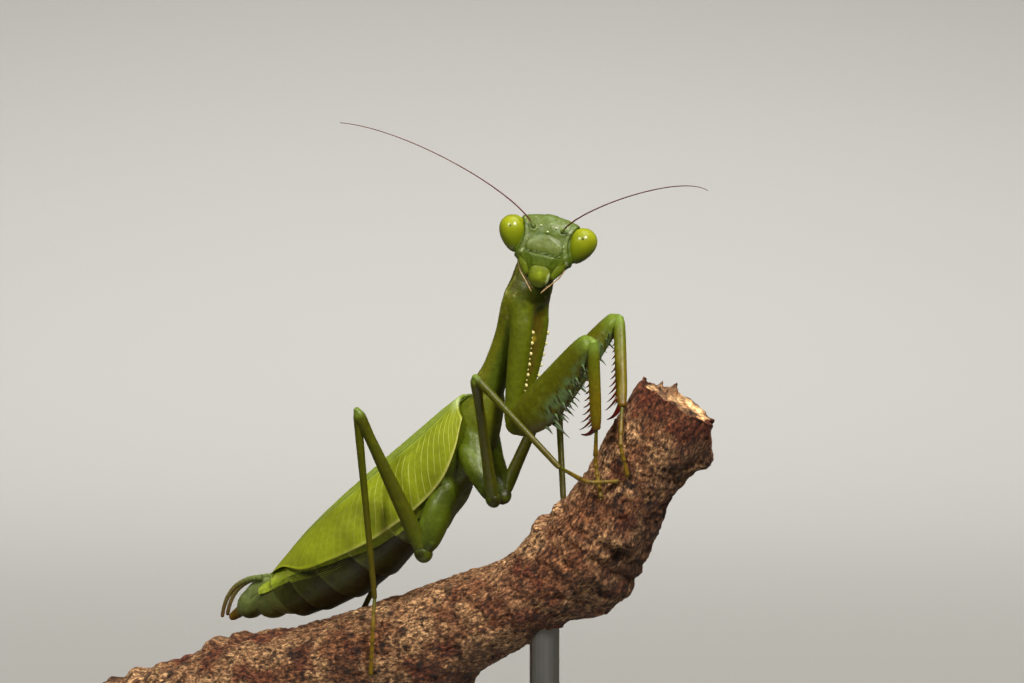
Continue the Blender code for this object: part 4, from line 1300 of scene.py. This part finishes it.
def vein_share(vein, length):
    """Where a lengthwise vein crosses at a share of the wing's length."""
    root, half, tip, _ = vein
    if length < 0.4:
        return root + (half - root) * ramp(length, 0.0, 0.4)
    return half + (tip - half) * ramp(length, 0.4, 1.0)


def long_vein(length, share):
    """Strength of the lengthwise veins at a place on the wing."""
    return max(vein[3] * near(share, vein_share(vein, length), 0.013) for vein in LONG_VEINS)


def cross_veins(length, share):
    """(count of cross veins up to a place on the wing, their strength there)."""
    main = vein_share(MAIN_VEIN, length)
    wander = 0.35 * noise.noise(Vector((length * 9, share * 3, 2.0)))
    count = length * 33 - (share - main) * 8 + wander
    below = ramp(share, main + 0.01, main + 0.05) * ramp(share, 0.985, 0.95)
    broken = ramp(noise.noise(Vector((length * 20, share * 9, 7.0))), -0.45, 0.1)
    below *= 0.18 + 0.6 * ramp(length, 0.62, 0.3) * broken
    above = 0.3 * ramp(share, main, main - 0.03)
    return count, below + above


def paint_wing(length, share, point):
    main = vein_share(MAIN_VEIN, length)
    return coated(
        WING_GREY,
        (WING_LIME, ramp(share, main - 0.05, main + 0.03)),
        (WING_SHADE, 0.6 * near(share, main + 0.05, 0.07) * ramp(length, 0.6, 0.1)),
        (WING_BRIGHT, 0.5 * ramp(share, main + 0.1, 0.85)),
        (mix(WING_GREY, VEIN_PALE, 0.7), 0.9 * long_vein(length, share)),
        (WING_LIME * 0.8, 0.5 * patches(point, 2.2, 3.0, 0.0, 0.6)),
        (EDGE_PALE, 0.85 * ramp(share, 0.965, 0.985) * ramp(length, 0.75, 0.35)),
        (PALE_SPECK_AND_GLINT, 0.5 * near(length, 0.0, 0.035) * ramp(share, 0.2, 0.4) * ramp(share, 0.8, 0.5)),
    )


def wing_relief(length, share):
    """Height of the lengthwise veins and of the rolled lower edge."""
    return 0.05 * long_vein(length, share) + 0.06 * ramp(share, 0.95, 0.985) - 0.08


WING_ROWS, WING_COLUMNS = 330, 104
WING_UNDERSIDE = -0.42


def build_wings():
    start, end = TEGMEN[0][0], TEGMEN[-1][0]
    lengths, shares = spread(0, 1, WING_ROWS), spread(0, 1, WING_COLUMNS)
    for side, sign in SIDES:
        outer, inner = [], []
        for length in lengths:
            place = start + (end - start) * length
            outer.append([tegmen_point(place, share, sign, wing_relief(length, share)) for share in shares])
            inner.append([tegmen_point(place, share, sign, WING_UNDERSIDE) for share in shares])
        wing = Surface()
        wing.add_sheet(outer, inner, paint_wing)
        thing = wing.make(f"wing_{side}", wing_material())
        veins = thing.data.attributes.new("veins", "FLOAT_VECTOR", "POINT")
        marks = []
        for length in lengths:
            for share in shares:
                marks += [*cross_veins(length, share), 0.0]
        veins.data.foreach_set("vector", marks * 2)
        present(thing, [f"tegmen_{side}"])


# --- spines and claws ---------------------------------------------------------------------------------------


def add_femur_spines(spines, hip, knee, ankle, outer):
    """Two rows of spines below the fore femur, and the long discoidal ones between them."""
    along, lower, across = limb_sides(hip, knee, ankle - knee, outer)
    length = (knee - hip).length
    rows = LIMBS["fore_femur"]

    def add(share, side, reach, radius, lean=0.1):
        _, half_width, _, depth = row_at(rows, share)
        base = hip + along * share * length + lower * (depth - 0.3) + across * side * half_width * 0.45
        heading = (lower + along * lean + across * side * 0.35).normalized()
        tip = base + heading * (reach + 0.3)
        spines.add_cone(base, tip, radius, (SPINE_GREEN, SPINE_DARK), along * 0.06)

    for k in range(5):
        add(0.42 + 0.105 * k, 1, 0.75, 0.13)
    for k in range(14):
        add(0.37 + 0.041 * k, -1, 0.8 if k % 2 else 0.45, 0.1)
    for k in range(30):
        add(0.36 + 0.018 * k, random.uniform(-0.9, 0.9), random.uniform(0.1, 0.3), 0.075)
    for k, reach in enumerate((1.1, 2.4, 1.6, 1.1)):
        add(0.27 + 0.045 * k, 0.3 * (-1) ** k, reach, 0.2, 0.25)


def add_tibia_spines(spines, knee, ankle, hip, outer):
    """Two combs of spines along the fore tibia, longer towards the claw."""
    along, lower, across = limb_sides(knee, ankle, hip - knee, outer)
    length = (ankle - knee).length
    for side in (1, -1):
        for k in range(11):
            base = knee + along * (0.2 + 0.07 * k) * length + lower * 0.3 + across * side * 0.25
            heading = (lower + along * 0.8 + across * side * 0.25).normalized()
            share = k / 10
            reach = 0.5 + 0.6 * share + 0.9 * share**3
            tints = (mix(TIBIA_ORANGE, CLAW_RED, 0.8 * share), SPINE_DARK)
            spines.add_cone(base, base + heading * reach, 0.12 + 0.04 * share, tints, along * 0.1 * reach)


def claw_tint(share):
    return mix(mix(TIBIA_ORANGE, CLAW_RED, 0.5), CLAW_RED * 0.8, ramp(share, 0.0, 0.3))


def add_tibia_claw(spines, knee, ankle, hip, outer):
    """The hooked claw at the end of the fore tibia, curling towards the femur."""
    along, lower, across = limb_sides(knee, ankle, hip - knee, outer)
    centre, heading = ankle - along * 0.8, along.copy()
    steps = 26
    rings = []
    for k in range(steps + 1):
        share = k / steps
        radius = 0.40 * (1 - share) + 0.05
        side = heading.cross(across)
        ring = []
        for n in range(14):
            x, y = oval_point(radius * 0.8, radius, -radius, 0.0, n / 14)
            ring.append(centre + across * x + side * y)
        rings.append((share, ring))
        heading = Matrix.Rotation(math.radians(CLAW_CURL / steps), 3, along.cross(lower)) @ heading
        centre = centre + heading * (CLAW_LENGTH / steps)
    spines.add_rings(rings, lambda share, turn, point: claw_tint(share), (0.1, 0.03))


def add_coxa_teeth(teeth, root, hip, knee, outer, side):
    """A row of pale blunt teeth along the front edge of the fore coxa, with tiny ones between."""
    along, lower, across = limb_sides(root, hip, knee - hip, outer)
    length = (hip - root).length
    for k in range(13):
        share = 0.2 + 0.044 * k
        big = k % 2 == 0
        _, half_width, _, depth = row_at(LIMBS["fore_coxa"], share)
        out = (lower * 0.8 + across * side * 0.6).normalized()
        base = root + along * share * length + lower * depth * 0.74 + across * side * half_width * 0.52
        axes = axes_of(along, out)
        size = (0.2, 0.24, 0.13) if big else (0.09, 0.1, 0.08)
        teeth.add_ball(base + out * 0.08, size, axes, lambda share, turn, point: BUMP_PALE, 12, 8)


def add_toe_claws(claws, instep, toe):
    """The pair of small hooks at the end of a tarsus."""
    along = (toe - instep).normalized()
    across = square_to(UP.cross(along) if abs(along.z) < 0.95 else LEFT, along)
    for side in (1, -1):
        tip = toe + (along * 0.45 + across * side * 0.42)
        claws.add_cone(toe, tip, 0.09, (TARSUS_OLIVE, SPINE_DARK), along * 0.1, 8)


def build_spines():
    spines, teeth, claws = Surface(), Surface(), Surface()
    for leg in LEGS:
        root, hip, knee, ankle, instep, toe = skin_joints(leg)
        outer = LEFT if leg.endswith("left") else -LEFT
        add_toe_claws(claws, instep, toe)
        if leg.startswith("fore"):
            add_coxa_teeth(teeth, root, hip, knee, outer, 1 if leg.endswith("left") else -1)
            add_femur_spines(spines, hip, knee, ankle, outer)
            add_tibia_spines(spines, knee, ankle, hip, outer)
            add_tibia_claw(spines, knee, ankle, hip, outer)
    present(spines.make("foreleg_spines", horn_material()))
    present(teeth.make("coxa_teeth", horn_material()))
    present(claws.make("toe_claws", horn_material()))


# --- branch and stand ---------------------------------------------------------------------------------------


def branch_line():
    """(index, x, y, z, radius) at each bend of the branch, from its lower end."""
    point = BRANCH_START.copy()
    stops = [(0, *point, BRANCH_START_RADIUS)]
    for index, (length, slope, radius) in enumerate(BRANCH_RUNS, 1):
        point = point + direction(BRANCH_HEADING, slope) * length
        stops.append((index, *point, radius))
    return stops


# Lumps and hollows of the bark: distance along the branch, angle from the side that faces -Y, half length,
# half width, height.
BARK_KNOTS = (
    (12.5, 80, 1.7, 2.2, 0.5), (16.2, 78, 1.9, 2.2, 0.6), (20.5, 60, 2.5, 2.5, 0.35),
    (27.0, 80, 1.9, 2.6, 0.8), (29.6, 84, 1.6, 2.4, 0.7), (40.0, -40, 4.0, 3.0, 0.35),
    (51.5, 262, 5.2, 5.5, 2.2), (55.0, -50, 2.4, 3.0, 0.4), (61.0, 262, 3.0, 3.0, -0.2),
    (65.0, 75, 6.0, 5.0, -0.75), (71.4, 66, 1.3, 3.2, 0.5), (75.0, 66, 1.6, 2.4, 0.3),
    (72.0, 246, 4.6, 5.2, 1.35), (76.2, 240, 1.7, 4.0, 0.45), (76.6, -58, 1.7, 1.3, -0.6),
    (78.0, -52, 1.2, 2.6, 0.4), (73.6, -50, 1.1, 3.4, 0.35), (82.8, 244, 3.6, 3.4, -0.45),
    (88.1, 246, 1.7, 2.6, 0.9), (90.6, 244, 1.1, 2.8, -1.2), (80.5, 60, 2.0, 2.0, -0.2),
)
BRANCH_LENGTH = sum(run[0] for run in BRANCH_RUNS)
NEAR_SIDE = math.radians(-26)


def bark_height(along, angle, point, radius):
    """Relief of the bark: knots, folds round the elbow, long cracks and a flaky crust."""
    height = 0.0
    for place, turned, half_length, half_width, rise in BARK_KNOTS:
        round_way = wrapped(angle - math.radians(turned))
        reach = math.hypot((along - place) / half_length, round_way * radius / half_width)
        height += rise * ramp(reach, 1.0, 0.2)
    folds = near(along, 75.0, 5.0) * (0.5 + 0.5 * math.cos(angle + 1.0))
    height += 0.17 * folds * math.sin(along * 3.6 + 1.5 * math.sin(angle * 2))
    grain = Vector((along * 0.3, math.cos(angle) * 4.5, math.sin(angle) * 4.5))
    height += 0.17 * noise.noise(point / 3.4) - 0.2 * ramp(abs(noise.noise(grain * 0.7)), 0.1, 0.0)
    flakes = noise.noise(Vector((along * 0.8, grain.y * 0.75, grain.z * 0.75)) + Vector((0, 7, 0)))
    crust = 0.15 * ramp(flakes, -0.05, 0.12) + 0.1 * noise.noise(point / 0.75)
    height += crust + 0.09 * noise.noise(point / 0.36)
    return height - 0.1


def rim_lift(angle):
    """How far the torn bark stands up past the end of the branch."""
    jag = 0.3 * noise.noise(Vector((math.cos(angle) * 2.2, math.sin(angle) * 2.2, 3.0)))
    jag += 0.14 * noise.noise(Vector((math.cos(angle) * 7, math.sin(angle) * 7, 5.0)))
    return 2.0 * (0.5 + 0.5 * math.cos(angle - NEAR_SIDE)) + 0.35 * near(angle, math.radians(72), 0.5) + jag


def wood_height(share, angle):
    """Height of the broken wood at a share of the end's radius."""
    x, y = share * math.cos(angle), share * math.sin(angle)
    far = 0.5 - 0.5 * math.cos(angle - NEAR_SIDE)
    splinters = ramp(noise.noise(Vector((x * 5.6, y * 5.6, 1.0))), 0.1, 0.6) * far * ramp(share, 0.3, 0.6)
    splinters *= near(angle % (2 * math.pi), math.radians(130), 0.9)
    return 0.25 + 0.35 * far * share + 1.1 * splinters + 0.2 * noise.noise(Vector((x * 8, y * 8, 4.0)))


def end_rings(centre, along, edge, sign):
    """Rings that close an end of the branch, from its last ring inwards: the torn rim, then the wood."""
    rings = []
    sides = len(edge)
    for share in [0.965, 0.93, 0.9] + spread(0.86, 0.04, 22):
        ring = []
        for k in range(sides):
            angle = 2 * math.pi * k / sides
            out = edge[k] - centre
            flat = out - along * out.dot(along)
            wood = wood_height(share, angle) if sign > 0 else 0.1 * noise.noise(flat * share * 2)
            rise = out.dot(along) * sign * ramp(share, 0.9, 0.95) + wood * ramp(share, 0.95, 0.9)
            ring.append(centre + flat * share + along * sign * rise)
        rings.append((2.0 + share if sign > 0 else -2.0 - share, ring))
    return rings


def paint_bark(share, angle, point):
    """share is the distance along the branch over its length, and beyond 2 or -2 on the broken ends."""

    def grained(coarse, fine, weight, low, high):
        """A ramp over patches of a coarse size and seed with weaker ones of a fine size and seed."""
        return ramp(mottle(point, *coarse) + weight * mottle(point, *fine), low, high)

    if abs(share) > 2:
        wood = mix(WOOD_PALE, WOOD_BROWN, grained((0.7, 5.0), (0.25, 2.0), 0.4, 0.2, 0.7))
        return mix(wood, BARK_RED, ramp(abs(share), 2.88, 2.93))
    along = share * BRANCH_LENGTH
    tint = coated(
        BARK_BROWN,
        (BARK_TAN, grained((4.0, 1.0), (1.3, 2.0), 0.6, -0.3, 0.5)),
        (BARK_RED, 0.8 * grained((3.0, 8.0), (0.9, 3.0), 0.4, 0.15, 0.5)),
        (BARK_RED, 0.6 * near(along, 66.0, 6.0) * near(angle, 0.0, 1.0)),
        (BARK_DARK, 0.85 * grained((1.1, 5.0), (0.4, 3.0), 0.3, 0.33, 0.55)),
        # A paler top over the upper part of the branch: painted light.
        (BARK_TAN, 0.4 * ramp(math.sin(angle), 0.3, 0.95) * ramp(along, 30.0, 60.0)),
    )
    tint = tint * (0.78 + 0.22 * ramp(along, 42.0, 60.0))
    return coated(
        tint,
        # The underside darker: painted shade.
        (BARK_DARK, 0.5 * ramp(math.sin(angle), -0.5, -0.95)),
        (BARK_RED, 0.8 * ramp(along, 88.5, 90.5)),
        (BARK_DARK, near(along, 12.5, 2.2) * near(angle, 1.4, 0.5) * patches(point, 1.0, 1.0, -0.2, 0.1)),
    )


def build_branch():
    table = branch_line()
    count, sides = 590, 160
    places = spread(0, len(table) - 1, count)
    rows = [row_at(table, place) for place in places]
    centres = [Vector(row[1:4]) for row in rows]
    rings, ends = [], []
    travelled = 0.0
    for index in range(count):
        before, after = centres[max(index - 1, 0)], centres[min(index + 1, count - 1)]
        travelled += (centres[index] - before).length
        along = (after - before).normalized()
        across = along.cross(UP).normalized()
        upward = across.cross(along)
        ring = []
        for k in range(sides):
            angle = 2 * math.pi * k / sides
            offset = across * math.cos(angle) + upward * math.sin(angle)
            point = centres[index] + offset * rows[index][4]
            lift = rim_lift(angle) * ramp(travelled, BRANCH_LENGTH - 2.5, BRANCH_LENGTH)
            ring.append(point + offset * bark_height(travelled, angle, point, rows[index][4]) + along * lift)
        rings.append((travelled / BRANCH_LENGTH, ring))
        ends.append((centres[index], along))
    rings = end_rings(*ends[0], rings[0][1], -1)[::-1] + rings + end_rings(*ends[-1], rings[-1][1], 1)
    bark = Surface()
    bark.add_rings(rings, lambda share, turn, point: paint_bark(share, wrapped(2 * math.pi * turn), point))
    thing = bark.make("perch_bark", bark_material())
    grain = thing.data.attributes.new("grain", "FLOAT_VECTOR", "POINT")
    for row, (share, ring) in enumerate(rings):
        for k, point in enumerate(ring):
            angle = 2 * math.pi * k / sides
            calm = 1.0 if abs(share) < 2 else 0.14 + 0.86 * ramp(abs(share), 2.87, 2.94)
            reach = 4.8 if abs(share) < 2 else 4.8 * (abs(share) - 2)
            fibre = Vector(((point.x + point.z) * 0.4, reach * math.cos(angle), reach * math.sin(angle)))
            grain.data[row * sides + k].vector = fibre * calm
    present(thing, ["branch"])


# --- materials ----------------------------------------------------------------------------------------------


class Finish:
    """A node material, with helpers that add nodes and feed them constants or the outputs of other nodes."""

    def __init__(self, name):
        self.material = bpy.data.materials.new(name)
        self.material.use_nodes = True
        self.tree = self.material.node_tree
        self.shader = self.tree.nodes["Principled BSDF"]
        self.place = self.add("ShaderNodeTexCoord").outputs["Object"]

    def feed(self, node, inputs):
        """Sets inputs of a node, by name or number, or links them where a node's output is given."""
        for key, value in inputs.items():
            if isinstance(value, bpy.types.NodeSocket):
                self.tree.links.new(value, node.inputs[key])
            else:
                node.inputs[key].default_value = value

    def add(self, kind, inputs=None, **settings):
        node = self.tree.nodes.new(kind)
        for key, value in settings.items():
            setattr(node, key, value)
        self.feed(node, inputs or {})
        return node

    def noise(self, scale, detail=3.0, roughness=0.55):
        inputs = {"Scale": scale, "Detail": detail, "Roughness": roughness, "Vector": self.place}
        return self.add("ShaderNodeTexNoise", inputs).outputs["Fac"]

    def mapped(self, value, low, high, start=0.0, end=1.0, **settings):
        """The value taken from the range of start to end into that of low to high."""
        inputs = {"Value": value, "From Min": start, "From Max": end, "To Min": low, "To Max": high}
        return self.add("ShaderNodeMapRange", inputs, **settings).outputs["Result"]

    def worked(self, operation, *values):
        """The result of a maths node."""
        return self.add("ShaderNodeMath", dict(enumerate(values)), operation=operation).outputs["Value"]

    def scaled(self, colour, amount):
        inputs = {0: colour, "Scale": amount}
        return self.add("ShaderNodeVectorMath", inputs, operation="SCALE").outputs["Vector"]

    def attribute(self, name, output):
        return self.add("ShaderNodeAttribute", attribute_name=name).outputs[output]

    def tinted(self, scale, low, high):
        """The tint attribute with a little lightness variation of the given scale."""
        amount = self.mapped(self.noise(scale), low, high, 0.3, 0.7)
        return self.scaled(self.attribute("tint", "Color"), amount)

    def bump(self, height, strength, distance):
        inputs = {"Strength": strength, "Distance": distance, "Height": height}
        self.feed(self.shader, {"Normal": self.add("ShaderNodeBump", inputs).outputs["Normal"]})

    def roughen(self, height, low, high):
        self.feed(self.shader, {"Roughness": self.mapped(height, low, high)})

    def finished(self, inputs):
        """The material, once its shader has the given inputs."""
        self.feed(self.shader, inputs)
        return self.material


@cache
def skin_material():
    """Waxy cuticle with a fine pitted grain."""
    finish = Finish("cuticle")
    pits, dents = finish.noise(6500.0, 2.0), finish.noise(1500.0, 2.0)
    finish.bump(finish.worked("MULTIPLY_ADD", dents, 3.5, pits), 0.4, 0.00005)
    finish.roughen(pits, 0.32, 0.5)
    return finish.finished({
        "Base Color": finish.tinted(2600.0, 0.84, 1.16),
        "Subsurface Weight": 0.12,
        "Subsurface Scale": 0.0006,
        "Subsurface Radius": (0.7, 1.0, 0.3),
        "Specular IOR Level": 0.36,
    })


@cache
def eye_material():
    """Smooth glossy cornea over fine facets."""
    finish = Finish("cornea")
    facets = finish.add("ShaderNodeTexVoronoi", {"Scale": 16000.0, "Vector": finish.place})
    finish.bump(facets.outputs["Distance"], 0.12, 0.00002)
    return finish.finished({
        "Base Color": finish.tinted(900.0, 0.94, 1.06),
        "Roughness": 0.3,
        "Specular IOR Level": 0.4,
        "Coat Weight": 0.22,
        "Coat Roughness": 0.12,
        "Subsurface Weight": 0.15,
        "Subsurface Scale": 0.0006,
    })


@cache
def horn_material():
    """Hard dark horn of spines, claws and feelers."""
    finish = Finish("horn")
    finish.bump(finish.noise(9000.0, 2.0), 0.2, 0.00003)
    return finish.finished({"Base Color": finish.tinted(4000.0, 0.85, 1.15), "Roughness": 0.3})


@cache
def wing_material():
    """Leathery wing with raised cross veins. The veins attribute counts them and gives their strength."""
    finish = Finish("tegmen")
    veins = finish.add("ShaderNodeSeparateXYZ", {"Vector": finish.attribute("veins", "Vector")})
    phase = finish.worked("FRACT", veins.outputs["X"])
    off_line = finish.worked("ABSOLUTE", finish.worked("SUBTRACT", phase, 0.5))
    line = finish.mapped(off_line, 1.0, 0.0, 0.02, 0.1, interpolation_type="SMOOTHSTEP")
    strength = finish.worked("MULTIPLY", line, veins.outputs["Y"])
    # Of a colour mix, input 0 is the share, inputs 6 and 7 are the colours, and output 2 is the result.
    colours = {0: strength, 6: finish.tinted(1800.0, 0.88, 1.12), 7: (*mix(VEIN_PALE, EDGE_PALE, 0.5), 1)}
    streaked = finish.add("ShaderNodeMix", colours, data_type="RGBA")
    cells = finish.noise(5200.0, 2.0)
    finish.bump(finish.worked("ADD", cells, strength), 0.3, 0.00006)
    finish.roughen(cells, 0.42, 0.6)
    return finish.finished({
        "Base Color": streaked.outputs[2],
        "Subsurface Weight": 0.2,
        "Subsurface Scale": 0.0008,
        "Subsurface Radius": (0.8, 1.0, 0.2),
    })


@cache
def bark_material():
    """Weathered bark: fibres along the branch, dark pits and pale flecks over the tints."""
    finish = Finish("bark")
    inputs = {"Vector": finish.attribute("grain", "Vector"), "Scale": 3.4, "Detail": 6.0, "Roughness": 0.72}
    fibres = finish.add("ShaderNodeTexNoise", {**inputs, "Distortion": 0.25}).outputs["Fac"]
    shade = finish.add("ShaderNodeValToRGB", {"Fac": fibres})
    stops = ((0.36, (30, 18, 12)), (0.45, (112, 94, 84)), (0.54, (178, 162, 148)), (0.64, (255, 246, 230)))
    shade.color_ramp.elements.new(0.5)
    shade.color_ramp.elements.new(0.6)
    for element, (position, colour) in zip(shade.color_ramp.elements, stops):
        element.position = position
        element.color = (*srgb(*colour), 1)
    factors = {0: finish.tinted(2400.0, 0.55, 1.5), 1: finish.scaled(shade.outputs["Color"], 2.9)}
    product = finish.add("ShaderNodeVectorMath", factors, operation="MULTIPLY")
    finish.bump(fibres, 1.0, 0.0006)
    finish.roughen(fibres, 0.65, 0.9)
    return finish.finished({"Base Color": product.outputs["Vector"]})


@cache
def base_material():
    """Satin white lacquer with a faint orange peel."""
    finish = Finish("satin_lacquer")
    peel = finish.noise(700.0, 2.0)
    finish.bump(peel, 0.08, 0.0001)
    finish.roughen(peel, 0.3, 0.42)
    return finish.finished({"Base Color": (*LACQUER_WHITE, 1)})


@cache
def rod_material():
    """Brushed steel."""
    finish = Finish("brushed_steel")
    stretch = finish.add("ShaderNodeMapping", {"Vector": finish.place, "Scale": (900.0, 900.0, 9000.0)})
    inputs = {"Vector": stretch.outputs["Vector"], "Scale": 1.0}
    lines = finish.add("ShaderNodeTexNoise", inputs).outputs["Fac"]
    finish.bump(lines, 0.15, 0.00005)
    finish.roughen(lines, 0.25, 0.4)
    return finish.finished({"Base Color": (*STEEL_GREY, 1), "Metallic": 1.0})


def floor_material():
    return Finish("studio_floor").finished({"Base Color": (*FLOOR_GREY, 1), "Roughness": 0.85})


def dress_stand():
    """Gives the base and the rods, which are the solids themselves, their finishes."""
    finishes = {"stand_base": base_material(), "stand_rod_1": rod_material(), "stand_rod_2": rod_material()}
    for name, finish in finishes.items():
        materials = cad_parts[name].data.materials
        materials.clear()
        materials.append(finish)


# --- studio -------------------------------------------------------------------------------------------------


# The floor, in metres: radius of a first ring, radius of its flat part and radius of the bowl round it.
FLOOR_RING, FLOOR_FLAT, FLOOR_BOWL = 0.3, 0.8, 1.6


def build_floor():
    """A pale floor that rises into a wide bowl far behind the model, so that no horizon shows."""
    mesh = bmesh.new()
    sides, steps = 96, 24
    profile = [(FLOOR_RING, 0.0), (FLOOR_FLAT, 0.0)]
    for k in range(1, steps + 1):
        angle = math.pi / 2 * k / steps
        profile.append((FLOOR_FLAT + FLOOR_BOWL * math.sin(angle), FLOOR_BOWL * (1 - math.cos(angle))))
    loops = []
    for radius, height in profile:
        loop = []
        for k in range(sides):
            angle = 2 * math.pi * k / sides
            loop.append(mesh.verts.new((radius * math.cos(angle), radius * math.sin(angle), height)))
        loops.append(loop)
    mesh.faces.new(loops[0])
    for low, high in zip(loops, loops[1:]):
        for k in range(sides):
            n = (k + 1) % sides
            mesh.faces.new((low[n], low[k], high[k], high[n]))
    data = bpy.data.meshes.new("floor")
    mesh.to_mesh(data)
    mesh.free()
    data.shade_smooth()
    data.materials.append(floor_material())
    floor = bpy.data.objects.new("floor", data)
    bpy.context.scene.collection.objects.link(floor)
    floor.visible_diffuse = False
    floor.visible_glossy = False


# Lamps: name, turn from the camera's heading, elevation, size in metres, power in watts and colour.
LAMPS = (
    ("key", 24.0, 40.0, 0.07, 2.1, (1.0, 0.96, 0.88)),
    ("second", -38.0, 34.0, 0.08, 0.95, (1.0, 0.96, 0.88)),
    ("top", 60.0, 78.0, 0.4, 0.8, (1.0, 0.98, 0.94)),
)
LAMP_DISTANCE, WORLD_STRENGTH = 450.0, 0.1
# Gridded lamps that hang in a ring over the floor: ring radius, height, power and spread in degrees.
FLOOR_LAMPS = (1050.0, 1250.0, 6.4, 84.0)


def aim(thing, target):
    thing.rotation_euler = (target - thing.location).to_track_quat("-Z", "Y").to_euler()


def add_area_light(name, place, size, power, colour, target=CAMERA_TARGET):
    data = bpy.data.lights.new(name, "AREA")
    data.shape = "DISK"
    data.size = size
    data.energy = power
    data.color = colour
    lamp = bpy.data.objects.new(name, data)
    lamp.location = place * MM
    aim(lamp, target * MM)
    bpy.context.scene.collection.objects.link(lamp)
    return lamp


def build_studio():
    """Two lamps beside the camera, a broad soft one above, four hung over the floor and a dim surround."""
    build_floor()
    world = bpy.data.worlds.new("studio")
    bpy.context.scene.world = world
    world.use_nodes = True
    background = world.node_tree.nodes["Background"]
    background.inputs["Color"].default_value = (1.0, 0.9, 0.72, 1)
    background.inputs["Strength"].default_value = WORLD_STRENGTH
    heading = math.degrees(math.atan2(CAMERA_PLACE.y - CAMERA_TARGET.y, CAMERA_PLACE.x - CAMERA_TARGET.x))
    for name, turn, elevation, size, power, colour in LAMPS:
        place = CAMERA_TARGET + direction(heading + turn, elevation) * LAMP_DISTANCE
        add_area_light(name, place, size, power, colour)
    radius, height, power, width = FLOOR_LAMPS
    for number in range(4):
        place = direction(heading + 90 * number, 0) * radius + UP * height
        lamp = add_area_light(f"floor_{number}", place, 0.9, power, (1.0, 1.0, 1.0), place - UP)
        lamp.data.spread = math.radians(width)
        lamp.visible_glossy = False
    bpy.context.scene.view_settings.view_transform = "Standard"


def build_camera():
    data = bpy.data.cameras.new("camera")
    data.sensor_width = 36.0
    data.lens = CAMERA_LENS
    data.clip_start = 0.01
    data.clip_end = 20.0
    camera = bpy.data.objects.new("camera", data)
    camera.location = CAMERA_PLACE * MM
    aim(camera, CAMERA_TARGET * MM)
    bpy.context.scene.collection.objects.link(camera)
    bpy.context.scene.camera = camera


build_camera()
build_skin()
build_eyes()
build_ocelli()
build_feelers()
build_palps()
build_wings()
build_spines()
build_branch()
dress_stand()
build_studio()
